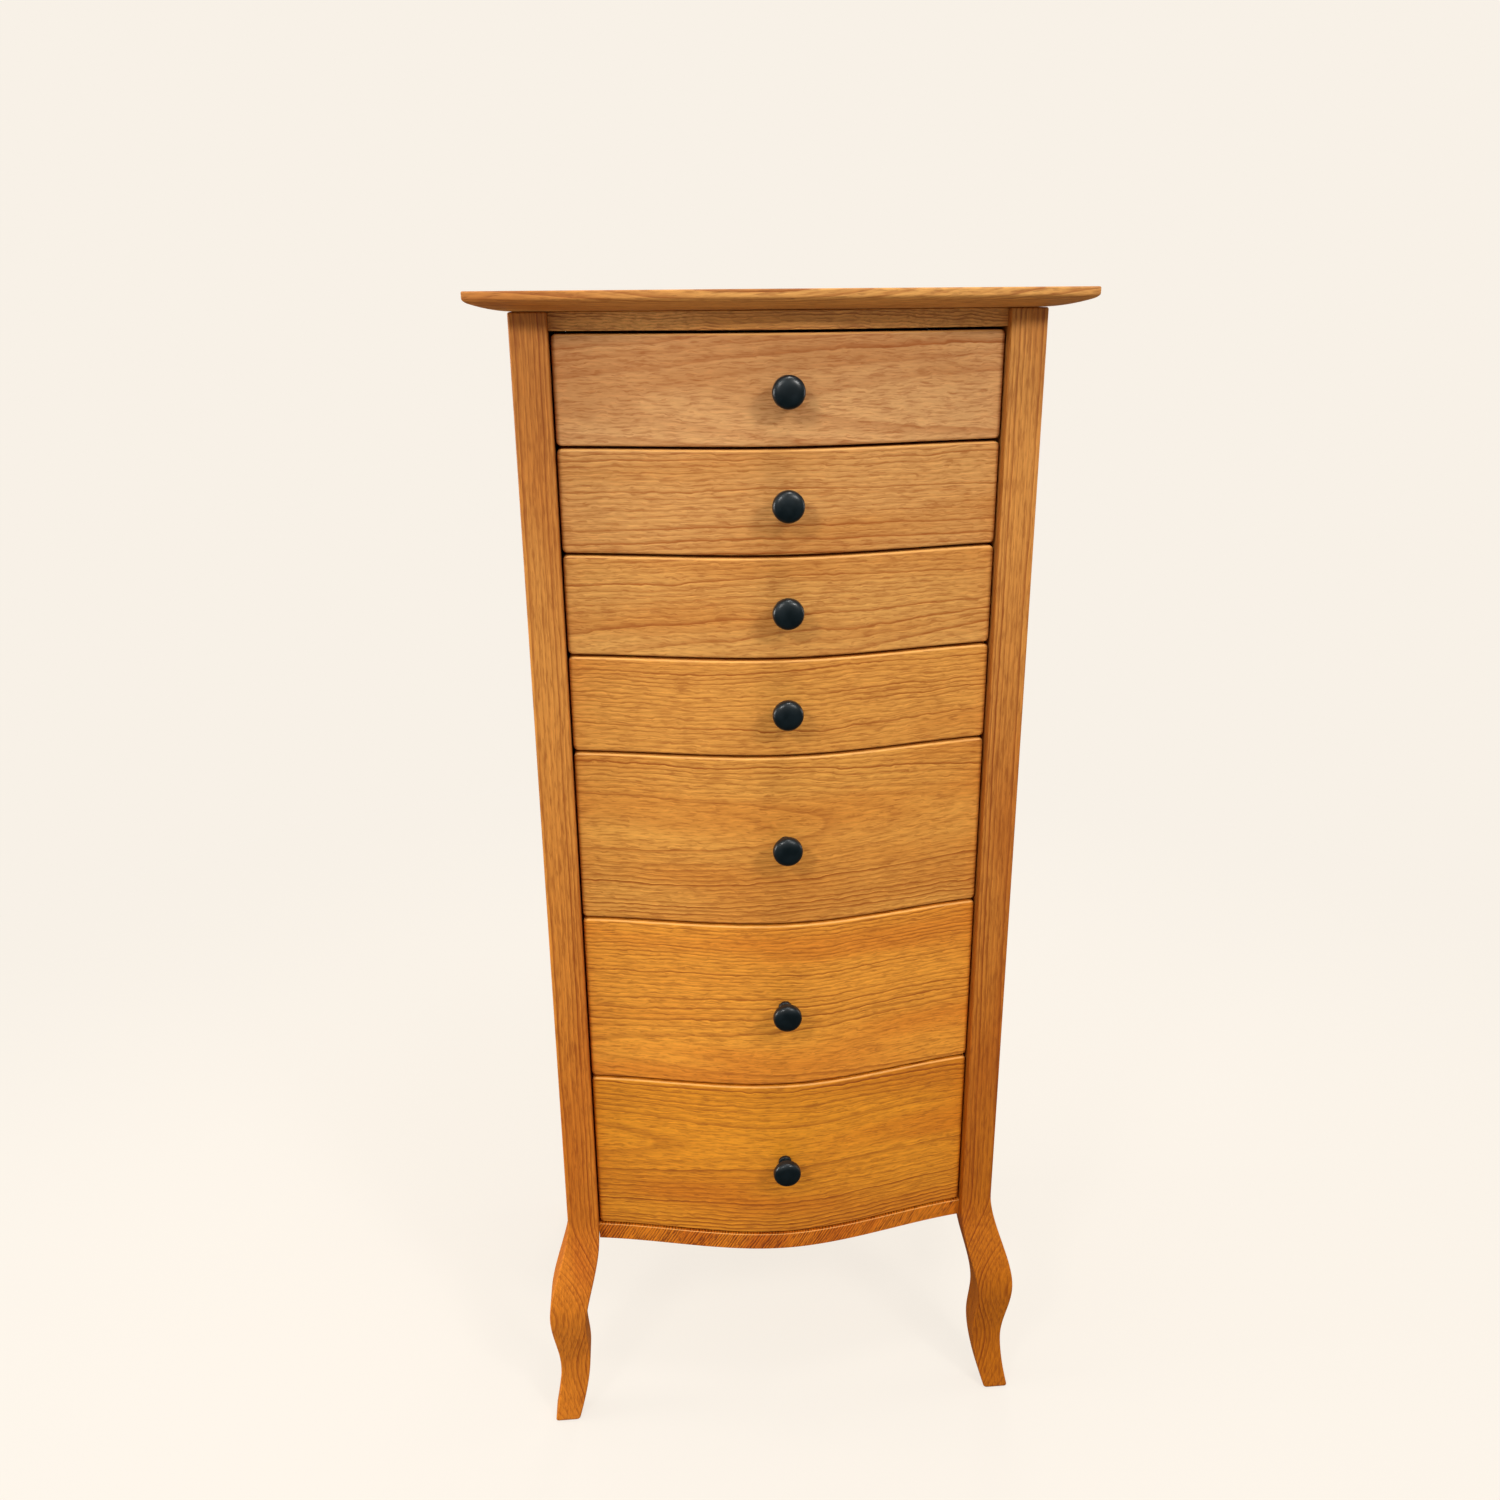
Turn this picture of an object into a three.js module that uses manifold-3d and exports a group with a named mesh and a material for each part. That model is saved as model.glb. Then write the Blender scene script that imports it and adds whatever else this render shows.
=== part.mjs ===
// Lingerie chest in oak with seven serpentine drawers. Four corner posts run
// down into cabriole legs, and the top board overhangs the case on three sides.
//
// Millimetres, +Z up, the front faces -Y. The origin is on the floor, under the
// centre of the chest's outline. Inside this file the case is drawn with the
// front faces of the posts at y = 0, and one group moves it to the origin.

import * as THREE from 'three';
import * as BufferGeometryUtils from 'three/addons/utils/BufferGeometryUtils.js';
import Module from 'manifold-3d';

const wasm = await Module();
wasm.setup();

// Case
const caseWidth = 540;             // across the outer faces of the corner posts
const caseDepth = 400;             // front faces to back faces of the posts
const caseHeight = 1369;           // floor to the underside of the top board
const postSize = 38;               // square section of a post
const postEdgeRound = 2;           // softened long edges of posts and legs
const topRailHeight = 18.5;        // rail between the top board and drawer 1
const bottomRailHeight = 22;       // apron rail under the lowest drawer
const sideRailHeight = 50;         // rails above and below each side panel
const sideRailThickness = 20;
const sideRailInset = 4;           // side rails stand behind the post faces
const rearRailThickness = 30;
const panelThickness = 12;         // solid side panels
const panelInset = 8;              // side panels stand behind the post faces
const plyThickness = 6;            // back, dust panel and drawer bottoms
const backInset = 4;               // back panel stands in front of the post backs
const dustPanelDrop = 9;           // dust panel lies below the rail tops
const glueLine = 0.25;             // left between glued faces

// Top board
const topThickness = 19;
const topSideOverhang = 38;        // past the posts at each side
const topCornerOverhang = 40;      // past the post fronts at the front corners
const topBow = 30;                 // the front edge swells by this at the centre
const topEdgeRound = 1.5;          // upper edge
const noseHeight = 11;             // upright part of the edge, with its rounding
const noseRound = 4.5;             // from the nose into the bevel below it
const bevelWidth = 46;             // hollowed away under the overhang
const bevelBulge = 1.8;            // the bevel is slightly convex

// Cabriole leg: how far the outer faces and the inner faces of the leg lie
// outside the post's own faces, and at which heights
const flareTop = 290;
const kneeHeight = 163;
const kneeReach = 28;
const ankleHeight = 80;
const ankleReach = 19;
const toeReach = 30;
const innerFlareTop = 265;
const innerKneeHeight = 145;
const innerKneeReach = 21.5;
const innerAnkleHeight = 95;
const innerAnkleReach = 18.75;
const heelReach = 37;
const footFlare = 1.7;             // power of the curve from ankle to floor
const footRound = 5;               // rounding round the sole
const soleShare = 0.999;           // of that rounding, so the lowest facets aren't upright

// Serpentine front, in plan
const endRecess = 13;              // ends of a front lie behind the post fronts
const frontBow = 42;               // ends to the crest at the centre
const swell = 0.6;                 // share of the bow that curls back at the ends
const frontThickness = 20;
const frontEdgeRound = 3;          // rounded edge all round the show face
const frontCornerRound = 5;        // corners, seen from the front

// Drawers, from the top down
const topFront = 108.5;
const shallowFront = 106.5;
const deepFronts = [200.5, 210.5, 212.5];
const frontHeights = [topFront, shallowFront, shallowFront, shallowFront, ...deepFronts];
const drawerGap = 3;               // between one front and the next, and the rails
const frontSideGap = 2;            // between a front and the posts
const sideThickness = 12;
const sideSetback = 4;             // drawer sides stand inside the ends of a front
const sideBelowFront = 12;         // drawer sides stop short of the front's top
const sideAboveFloor = 8;          // and start above the front's bottom edge
const housingDepth = 6;            // drawer sides are let into the front
const drawerBackGap = 10;          // from the drawer box to the back panel
const bottomLift = 8;              // drawer bottom above the lower edge of the sides
const bottomGroove = 5;            // the bottom is let into the sides and the front

// Side runners: a cleat on the case in a groove along each drawer side
const runnerHeight = 16;
const runnerBite = 6;              // of the cleat that lies in the groove
const grooveSlack = 1;             // between the cleat's nose and the groove
const runnerLift = 0.3;            // running gap on top of the cleat
const runnerSlack = 0.6;           // and under it
const grooveBelowTop = 32;         // groove's upper face below the side's top

// Knob
const knobRadius = 16.5;
const knobRim = 24;                // widest part, from the drawer front
const knobLength = 32;
const knobFullness = 0.7;          // 1 is a round dome, less is a flatter face
const collarRadius = 8;
const collarThickness = 4.5;
const collarRound = 1.5;
const neckRadius = 5.5;
const headBack = 17;               // where the neck starts to open into the head
const knobSeat = 0.3;              // from the drawer front to the collar
const knobSides = 20;

const past = 5;                    // cutting shapes run past the wood by this

// Facets
const bowSteps = 20;               // across a serpentine front or rail
const legSteps = 17;               // along a cabriole leg
const roundSteps = 2;              // round an edge
const soleSteps = 3;               // round the sole
const bevelSteps = 5;              // along the top board's bevel
const flareSteps = 3;              // from a knob's neck to its rim
const domeSteps = 5;               // from the rim to the crown

// Places worked out from the sizes above
const halfCase = caseWidth / 2;
const halfOpening = halfCase - postSize;
const halfFront = halfOpening - frontSideGap;
const frontRun = caseDepth - postSize;
const topRailBottom = caseHeight - topRailHeight;
const stack = frontHeights.reduce((sum, height) => sum + height + drawerGap, drawerGap);
const bottomRailTop = topRailBottom - stack;
const bottomRailBottom = bottomRailTop - bottomRailHeight;
const backPanelBack = caseDepth - backInset;
const backPanelFront = backPanelBack - plyThickness;
const drawerBack = backPanelFront - drawerBackGap;
const rearRailBack = backPanelFront - glueLine;
const rearRailFront = rearRailBack - rearRailThickness;
const sideOuter = halfFront - sideSetback;
const sideInner = sideOuter - sideThickness;
const runnerInner = sideOuter - runnerBite;
const panelOuter = halfCase - panelInset;
const panelInner = panelOuter - panelThickness;
const sideRailOuter = halfCase - sideRailInset;
const sideRailInner = sideRailOuter - sideRailThickness;
const halfTop = halfCase + topSideOverhang;
const overallDepth = caseDepth + topCornerOverhang + topBow;

// Finishes
const finishes = {
  oak: { color: 0xc98741, roughness: 0.42, metalness: 0 },
  postOak: { color: 0xb8702f, roughness: 0.45, metalness: 0 },
  drawerWood: { color: 0xd8b685, roughness: 0.6, metalness: 0 },
  ply: { color: 0xcfae7c, roughness: 0.7, metalness: 0 },
  knobBlack: { color: 0x17191c, roughness: 0.35, metalness: 0.1 },
};

function piece(name, geometry, finish) {
  const material = new THREE.MeshStandardMaterial({ ...finishes[finish], flatShading: true });
  const mesh = new THREE.Mesh(geometry, material);
  mesh.name = name;
  return mesh;
}

// Shape helpers

function box(x0, x1, y0, y1, z0, z1) {
  const geometry = new THREE.BoxGeometry(x1 - x0, y1 - y0, z1 - z0);
  return geometry.translate((x0 + x1) / 2, (y0 + y1) / 2, (z0 + z1) / 2);
}

// A plan outline raised from z0 to z1.
function plate(outline, z0, z1) {
  const shape = new THREE.Shape(outline.map(([x, y]) => new THREE.Vector2(x, y)));
  const geometry = new THREE.ExtrudeGeometry(shape, { depth: z1 - z0, bevelEnabled: false });
  return geometry.translate(0, 0, z0);
}

// A closed solid through rings with equal counts of points. Both end rings are
// flat, and u and v are the two axes that they lie in.
function loft(rings, u, v) {
  const count = rings[0].length;
  const faces = [];
  for (let ring = 0; ring + 1 < rings.length; ring += 1) {
    for (let i = 0; i < count; i += 1) {
      const a = ring * count + i;
      const b = ring * count + (i + 1) % count;
      faces.push([a, b, b + count], [a, b + count, a + count]);
    }
  }
  const outline = rings[0].map((point) => new THREE.Vector2(point[u], point[v]));
  const turn = Math.sign(THREE.ShapeUtils.area(outline));
  const last = (rings.length - 1) * count;
  for (const [i, j, k] of THREE.ShapeUtils.triangulateShape(outline, [])) {
    const corners = [outline[i], outline[j], outline[k]];
    const same = Math.sign(THREE.ShapeUtils.area(corners)) === turn;
    const [a, b, c] = same ? [i, j, k] : [i, k, j];
    faces.push([a, c, b], [a + last, b + last, c + last]);
  }
  const points = rings.flat();
  const volume = faces.reduce((sum, [a, b, c]) => {
    return sum + points[a].dot(points[b].clone().cross(points[c]));
  }, 0);
  const outward = volume > 0 ? faces : faces.map(([a, b, c]) => [a, c, b]);
  const geometry = new THREE.BufferGeometry().setFromPoints(points);
  return geometry.setIndex(outward.flat());
}

function toSolid(geometry) {
  const bare = geometry.clone();
  bare.deleteAttribute('normal');
  bare.deleteAttribute('uv');
  const merged = BufferGeometryUtils.mergeVertices(bare);
  const vertProperties = new Float32Array(merged.attributes.position.array);
  const triVerts = new Uint32Array(merged.index.array);
  return new wasm.Manifold(new wasm.Mesh({ numProp: 3, vertProperties, triVerts }));
}

function toGeometry(solid) {
  const mesh = solid.getMesh();
  const geometry = new THREE.BufferGeometry();
  geometry.setAttribute('position', new THREE.BufferAttribute(mesh.vertProperties, 3));
  return geometry.setIndex(new THREE.BufferAttribute(mesh.triVerts, 1));
}

function cut(geometry, ...tools) {
  const cutters = tools.map(toSolid);
  return toGeometry(cutters.reduce((solid, cutter) => solid.subtract(cutter), toSolid(geometry)));
}

function join(geometry, ...others) {
  const extras = others.map(toSolid);
  return toGeometry(extras.reduce((solid, extra) => solid.add(extra), toSolid(geometry)));
}

function mirrored(geometry) {
  const flipped = geometry.clone().scale(-1, 1, 1);
  const order = flipped.index ? flipped.index.array : null;
  if (!order) return mirrored(BufferGeometryUtils.mergeVertices(geometry));
  for (let i = 0; i < order.length; i += 3) {
    [order[i], order[i + 1]] = [order[i + 1], order[i]];
  }
  return flipped;
}

// Evenly spaced values from a to b, both ends with it.
function spread(a, b, steps) {
  return Array.from({ length: steps + 1 }, (_, i) => a + (b - a) * i / steps);
}

// The serpentine line: 1 at the centre and 0 at the ends. The ease part curls
// back level at the ends, and the rest is a plain bow.
function serpentine(x, halfWidth) {
  const along = Math.min(Math.abs(x) / halfWidth, 1);
  const toCentre = 1 - along;
  const ease = toCentre * toCentre * (3 - 2 * toCentre);
  return swell * ease + (1 - swell) * (1 - along * along);
}

// Front face of the drawers and the front rails.
function frontFace(x) {
  return endRecess - frontBow * serpentine(x, halfOpening);
}

// Outline points along the serpentine line, set back by the given depth.
function frontLine(halfWidth, depth) {
  return spread(-halfWidth, halfWidth, bowSteps).map((x) => [x, frontFace(x) + depth]);
}

// Corner posts with their legs

function easeBetween(z, high, low, atHigh, atLow) {
  const down = (high - z) / (high - low);
  return atHigh + (atLow - atHigh) * down * down * (3 - 2 * down);
}

function footCurve(z, ankle, atAnkle, atFloor) {
  return atAnkle + (atFloor - atAnkle) * ((ankle - z) / ankle) ** footFlare;
}

function outerReach(z) {
  if (z >= flareTop) return 0;
  if (z >= kneeHeight) return easeBetween(z, flareTop, kneeHeight, 0, kneeReach);
  if (z >= ankleHeight) return easeBetween(z, kneeHeight, ankleHeight, kneeReach, ankleReach);
  return footCurve(z, ankleHeight, ankleReach, toeReach);
}

function innerReach(z) {
  if (z >= innerFlareTop) return 0;
  if (z >= innerKneeHeight) {
    return easeBetween(z, innerFlareTop, innerKneeHeight, 0, innerKneeReach);
  }
  if (z >= innerAnkleHeight) {
    return easeBetween(z, innerKneeHeight, innerAnkleHeight, innerKneeReach, innerAnkleReach);
  }
  return footCurve(z, innerAnkleHeight, innerAnkleReach, heelReach);
}

// A rectangle with rounded corners, level at height z.
function roundedRing(x0, x1, y0, y1, radius, z) {
  const corners = [[x1, y1, 0], [x0, y1, 1], [x0, y0, 2], [x1, y0, 3]];
  return corners.flatMap(([x, y, quarter]) => {
    const cx = x + (x === x1 ? -radius : radius);
    const cy = y + (y === y1 ? -radius : radius);
    return spread(quarter, quarter + 1, roundSteps).map((turn) => {
      const angle = turn * Math.PI / 2;
      return new THREE.Vector3(cx + radius * Math.cos(angle), cy + radius * Math.sin(angle), z);
    });
  });
}

// Heights of the rings: round the sole, up the leg, then the top of the post.
function postHeights() {
  const sole = spread(0, Math.PI / 2, soleSteps).map((angle) => footRound * (1 - Math.cos(angle)));
  const leg = spread(footRound, flareTop, legSteps).slice(1);
  return [...sole, ...leg, caseHeight - glueLine];
}

function soleInset(z) {
  if (z >= footRound) return 0;
  return footRound - Math.sqrt(footRound ** 2 - (footRound - z) ** 2);
}

// The right front post. Its outer faces look to +X and -Y.
function frontPost() {
  const rings = postHeights().map((z) => {
    const inset = soleInset(z) * soleShare;
    const out = outerReach(z) - inset;
    const inn = innerReach(z) + inset;
    return roundedRing(halfOpening + inn, halfCase + out, -out, postSize - inn, postEdgeRound, z);
  });
  return loft(rings, 'x', 'y');
}

// The right rear post. Its leg curves only to the side, so that the chest can
// stand against a wall.
function rearPost() {
  const rings = postHeights().map((z) => {
    const inset = soleInset(z) * soleShare;
    const out = outerReach(z) - inset;
    const inn = innerReach(z) + inset;
    return roundedRing(
      halfOpening + inn, halfCase + out, frontRun + inset, caseDepth - inset, postEdgeRound, z,
    );
  });
  return loft(rings, 'x', 'y');
}

function posts() {
  return [
    piece('post_front_left', mirrored(frontPost()), 'postOak'),
    piece('post_front_right', frontPost(), 'postOak'),
    piece('post_rear_left', mirrored(rearPost()), 'postOak'),
    piece('post_rear_right', rearPost(), 'postOak'),
  ];
}

// Top board: rings from the upper face down its edge and along the bevel. Each
// ring is the plan outline drawn in from the front and both sides.
function topBoard() {
  const upper = caseHeight + topThickness;
  const bevelTop = upper - noseHeight;
  const edge = spread(0, Math.PI / 2, roundSteps).map((angle) => {
    return [topEdgeRound * (1 - Math.sin(angle)), upper - topEdgeRound * (1 - Math.cos(angle))];
  });
  const nose = spread(0, 1, roundSteps).map((share) => {
    return [noseRound * share * share, bevelTop + noseRound * (1 - share)];
  });
  const bevel = spread(0, 1, bevelSteps).slice(1).map((share) => {
    const drop = (bevelTop - caseHeight) * share + bevelBulge * 4 * share * (1 - share);
    return [noseRound + (bevelWidth - noseRound) * share, bevelTop - drop];
  });
  const rings = [...edge, ...nose, ...bevel].map(([inset, z]) => {
    const half = halfTop - inset;
    const front = spread(-half, half, bowSteps).map((x) => {
      const y = -topCornerOverhang - topBow * serpentine(x, half) + inset;
      return new THREE.Vector3(x, y, z);
    });
    const back = [half, -half].map((x) => new THREE.Vector3(x, caseDepth, z));
    return [...front, ...back];
  });
  return piece('top_panel', loft(rings, 'x', 'y'), 'oak');
}

// Rails

// A front rail follows the drawers' curve and is flat behind, flush with the
// back faces of the front posts.
function frontRail(name, z0, z1) {
  const half = halfOpening - glueLine;
  const outline = [...frontLine(half, 0), [half, postSize], [-half, postSize]];
  return piece(name, plate(outline, z0, z1), 'oak');
}

function rearRail(name, z0, z1) {
  const half = halfOpening - glueLine;
  return piece(name, box(-half, half, rearRailFront, rearRailBack, z0, z1), 'oak');
}

function sideRails(side, sign) {
  const inner = sign * sideRailInner;
  const outer = sign * sideRailOuter;
  const low = Math.min(inner, outer);
  const high = Math.max(inner, outer);
  const y0 = postSize + glueLine;
  const y1 = frontRun - glueLine;
  const upper = caseHeight - glueLine;
  const lower = bottomRailBottom;
  return [
    piece(`side_top_rail_${side}`, box(low, high, y0, y1, upper - sideRailHeight, upper), 'postOak'),
    piece(`side_bottom_rail_${side}`, box(low, high, y0, y1, lower, lower + sideRailHeight), 'postOak'),
  ];
}

// Lower edge of each drawer front, from the floor, top drawer first.
const frontBottoms = [];
let underside = topRailBottom;
for (const height of frontHeights) {
  underside -= drawerGap + height;
  frontBottoms.push(underside);
}

// Upper face of the runner groove, from the lower edge of a front.
function grooveTop(height) {
  return height - sideBelowFront - grooveBelowTop;
}

// The right side panel with one cleat for each drawer.
function sidePanel() {
  const y0 = postSize + glueLine;
  const y1 = frontRun - glueLine;
  const z0 = bottomRailBottom + sideRailHeight + glueLine;
  const z1 = caseHeight - sideRailHeight - 2 * glueLine;
  const panel = box(panelInner, panelOuter, y0, y1, z0, z1);
  const cleats = frontHeights.map((height, i) => {
    const top = frontBottoms[i] + grooveTop(height) - runnerLift;
    return box(runnerInner, panelInner + panelThickness / 2, y0, y1, top - runnerHeight, top);
  });
  return join(panel, ...cleats);
}

function caseBody() {
  const railTop = caseHeight - glueLine;
  const halfBack = halfOpening - glueLine;
  const halfDust = sideRailInner - glueLine;
  const dustTop = bottomRailTop - dustPanelDrop;
  return [
    topBoard(),
    ...posts(),
    frontRail('front_top_rail', topRailBottom, railTop),
    frontRail('front_bottom_rail', bottomRailBottom, bottomRailTop),
    rearRail('rear_top_rail', topRailBottom, railTop),
    rearRail('rear_bottom_rail', bottomRailBottom, bottomRailTop),
    ...sideRails('left', -1),
    ...sideRails('right', 1),
    piece('side_panel_left', mirrored(sidePanel()), 'oak'),
    piece('side_panel_right', sidePanel(), 'oak'),
    piece(
      'back_panel',
      box(-halfBack, halfBack, backPanelFront, backPanelBack, bottomRailBottom, railTop),
      'ply',
    ),
    piece(
      'dust_panel',
      box(
        -halfDust, halfDust, postSize + glueLine, rearRailFront - glueLine,
        dustTop - plyThickness, dustTop,
      ),
      'ply',
    ),
  ];
}

// Drawers, each in its own group with z = 0 at the lower edge of its front

// Plan outline of the right drawer side. Its front end follows the front and is
// let into it. The margin widens the outline all round for the housing.
function sideOutline(margin) {
  const x0 = sideInner - margin;
  const x1 = sideOuter + margin;
  const depth = frontThickness - housingDepth - margin;
  return [
    [x0, frontFace(x0) + depth],
    [x1, frontFace(x1) + depth],
    [x1, drawerBack],
    [x0, drawerBack],
  ];
}

function bottomOutline(margin) {
  const half = sideInner + bottomGroove - glueLine + margin;
  const depth = frontThickness - bottomGroove - margin;
  return [...frontLine(half, depth), [half, drawerBack], [-half, drawerBack]];
}

// The front is swept along the serpentine line. Its show face is rounded off
// towards all four edges, and its corners are rounded in elevation.
function drawerFront(height) {
  const sideCut = plate(
    sideOutline(glueLine), sideAboveFloor - glueLine, height - sideBelowFront + glueLine,
  );
  const bottomZ = sideAboveFloor + bottomLift;
  const bottomCut = plate(bottomOutline(glueLine), bottomZ - glueLine, bottomZ + plyThickness + glueLine);
  const roundTurns = spread(0, Math.PI / 2, roundSteps);
  const ends = roundTurns.map((angle) => frontCornerRound * (1 - Math.cos(angle)));
  const inner = spread(-(halfFront - frontCornerRound), halfFront - frontCornerRound, bowSteps);
  const stations = [
    ...ends.map((d) => d - halfFront),
    ...inner.slice(1, -1),
    ...ends.map((d) => halfFront - d).reverse(),
  ];
  const rings = stations.map((x) => {
    const fromEnd = halfFront - Math.abs(x);
    const inCorner = Math.max(frontCornerRound - fromEnd, 0);
    const drop = frontCornerRound - Math.sqrt(frontCornerRound ** 2 - inCorner ** 2);
    const inEdge = Math.max(frontEdgeRound - fromEnd, 0);
    const recede = frontEdgeRound - Math.sqrt(frontEdgeRound ** 2 - inEdge ** 2);
    const face = frontFace(x);
    const back = face + frontThickness;
    const lower = roundTurns.map((angle) => [
      face + Math.max(frontEdgeRound * (1 - Math.sin(angle)), recede),
      drop + frontEdgeRound * (1 - Math.cos(angle)),
    ]);
    const upper = lower.map(([y, z]) => [y, height - z]).reverse();
    return [[back, drop], ...lower, ...upper, [back, height - drop]]
      .map(([y, z]) => new THREE.Vector3(x, y, z));
  });
  return cut(loft(rings, 'y', 'z'), sideCut, mirrored(sideCut), bottomCut);
}

function drawerSide(height) {
  const top = height - sideBelowFront;
  const blank = plate(sideOutline(0), sideAboveFloor, top);
  const grooveHigh = grooveTop(height);
  const grooveLow = grooveHigh - runnerLift - runnerHeight - runnerSlack;
  const grooveFloor = runnerInner - grooveSlack;
  const runnerGroove = box(
    grooveFloor, sideOuter + past, postSize, drawerBack + past, grooveLow, grooveHigh,
  );
  const bottomZ = sideAboveFloor + bottomLift;
  const panelGroove = box(
    sideInner - past, sideInner + bottomGroove, -past, drawerBack + past,
    bottomZ - glueLine, bottomZ + plyThickness + glueLine,
  );
  return cut(blank, runnerGroove, panelGroove);
}

// Turned knob: collar, neck, and a full head that is widest at the rim.
function knob() {
  const collar = spread(0, Math.PI / 2, roundSteps).map((angle) => [
    collarRadius - collarRound * (1 - Math.cos(angle)),
    collarThickness - collarRound * (1 - Math.sin(angle)),
  ]);
  const flare = spread(0, Math.PI / 2, flareSteps).map((angle) => [
    knobRadius - (knobRadius - neckRadius) * Math.cos(angle),
    headBack + (knobRim - headBack) * (1 - Math.cos(angle)) ** (1 / 2),
  ]);
  const dome = spread(0, Math.PI / 2, domeSteps).slice(1).map((angle) => [
    knobRadius * Math.abs(Math.cos(angle)) ** knobFullness,
    knobRim + (knobLength - knobRim) * Math.sin(angle) ** knobFullness,
  ]);
  dome[dome.length - 1][0] = 0;
  const profile = [
    [0, 0],
    [collarRadius, 0],
    ...collar,
    [neckRadius, collarThickness + collarRound],
    ...flare,
    ...dome,
  ];
  const points = profile.map(([r, out]) => new THREE.Vector2(r, out));
  return new THREE.LatheGeometry(points, knobSides).rotateX(Math.PI);
}

function drawer(number, height, z) {
  const group = new THREE.Group();
  group.position.z = z;
  const name = `drawer_${number}`;
  const bottomZ = sideAboveFloor + bottomLift;
  const inner = sideInner - glueLine;
  const knobMesh = piece(`${name}_knob`, knob(), 'knobBlack');
  knobMesh.position.set(0, frontFace(0) - knobSeat, height / 2);
  group.add(
    piece(`${name}_front`, drawerFront(height), 'oak'),
    piece(`${name}_side_left`, mirrored(drawerSide(height)), 'drawerWood'),
    piece(`${name}_side_right`, drawerSide(height), 'drawerWood'),
    piece(
      `${name}_back`,
      box(
        -inner, inner, drawerBack - sideThickness, drawerBack,
        bottomZ + plyThickness + glueLine, height - sideBelowFront,
      ),
      'drawerWood',
    ),
    piece(`${name}_bottom`, plate(bottomOutline(0), bottomZ, bottomZ + plyThickness), 'ply'),
    knobMesh,
  );
  return group;
}

const chest = new THREE.Group();
chest.position.y = overallDepth / 2 - caseDepth;
chest.add(...caseBody());
frontHeights.forEach((height, i) => chest.add(drawer(i + 1, height, frontBottoms[i])));

export default chest;
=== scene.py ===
# %% [markdown]
# This lesson dresses a lingerie chest: a tall, narrow chest in lacquered oak
# with seven drawers, serpentine fronts, cabriole legs and black knobs. The
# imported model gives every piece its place, so it is loaded first, and its
# outline is kept so that the finished chest can be held against it.

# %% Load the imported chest
import math
import bmesh
import bpy
from mathutils import Matrix, Vector


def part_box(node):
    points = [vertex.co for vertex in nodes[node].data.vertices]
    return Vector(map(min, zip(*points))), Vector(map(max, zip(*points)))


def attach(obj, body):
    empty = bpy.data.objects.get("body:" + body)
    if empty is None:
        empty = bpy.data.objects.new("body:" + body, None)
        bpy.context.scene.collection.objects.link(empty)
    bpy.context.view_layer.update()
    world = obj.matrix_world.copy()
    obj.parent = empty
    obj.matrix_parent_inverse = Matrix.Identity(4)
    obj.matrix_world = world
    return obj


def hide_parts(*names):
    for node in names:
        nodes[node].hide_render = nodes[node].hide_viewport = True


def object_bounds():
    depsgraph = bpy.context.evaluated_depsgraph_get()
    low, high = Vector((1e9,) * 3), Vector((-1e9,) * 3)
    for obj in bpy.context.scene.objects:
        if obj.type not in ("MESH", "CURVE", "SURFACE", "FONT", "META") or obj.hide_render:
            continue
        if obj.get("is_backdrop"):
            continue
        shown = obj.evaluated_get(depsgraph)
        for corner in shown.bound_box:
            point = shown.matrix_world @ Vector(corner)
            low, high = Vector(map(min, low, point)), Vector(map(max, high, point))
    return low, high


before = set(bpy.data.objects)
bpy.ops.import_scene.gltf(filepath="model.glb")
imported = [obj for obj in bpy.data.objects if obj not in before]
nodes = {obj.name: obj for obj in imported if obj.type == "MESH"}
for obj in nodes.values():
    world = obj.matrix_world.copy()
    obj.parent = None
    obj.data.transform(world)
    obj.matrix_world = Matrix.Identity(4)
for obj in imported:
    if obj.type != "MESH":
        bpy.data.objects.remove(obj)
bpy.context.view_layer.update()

# %% [markdown]
# The chest was photographed from about the height of its top, a little to the
# left of the middle, with the camera tipped down. A camera in Blender looks
# along its own -Z axis, so its three axes are worked out from the turn, the
# tip and a slight roll, and written into its matrix.

# %% Camera
def aimed_camera(place, turn, tip, roll, lens):
    """A camera at a place in metres, with its angles in radians and its lens in millimetres."""
    flat = math.cos(tip)
    forward = Vector((math.sin(turn) * flat, math.cos(turn) * flat, -math.sin(tip)))
    level = Vector((math.cos(turn), -math.sin(turn), 0))
    upright = level.cross(forward)
    right = level * math.cos(roll) + upright * math.sin(roll)
    up = upright * math.cos(roll) - level * math.sin(roll)
    axes = Matrix((right, up, -forward)).transposed()
    lens_data = bpy.data.cameras.new("camera")
    lens_data.lens = lens
    camera = bpy.data.objects.new("camera", lens_data)
    camera.matrix_world = Matrix.Translation(place) @ axes.to_4x4()
    bpy.context.scene.collection.objects.link(camera)
    return camera


bpy.context.scene.camera = aimed_camera(
    place=(-0.152, -1.5054, 1.3835), turn=0.0862, tip=0.3397, roll=-0.0084, lens=30.97
)
print("camera", bpy.context.scene.camera.data.lens, "mm")

# %% [markdown]
# A material is a net of nodes. Four helpers keep the nets readable: one adds a
# node and fills its sockets, one does a sum, one spreads a noise that can be
# longer one way than another, and one turns part of a range into 0 to 1.
# Colours are written as they look on a screen and turned into light values.

# %% Helpers for materials
def colour(red, green, blue):
    """Light values of a colour as it looks on a screen, from 0 to 255 each."""
    def to_light(value):
        value /= 255
        return value / 12.92 if value <= 0.04045 else ((value + 0.055) / 1.055) ** 2.4
    return (to_light(red), to_light(green), to_light(blue), 1)


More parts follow.
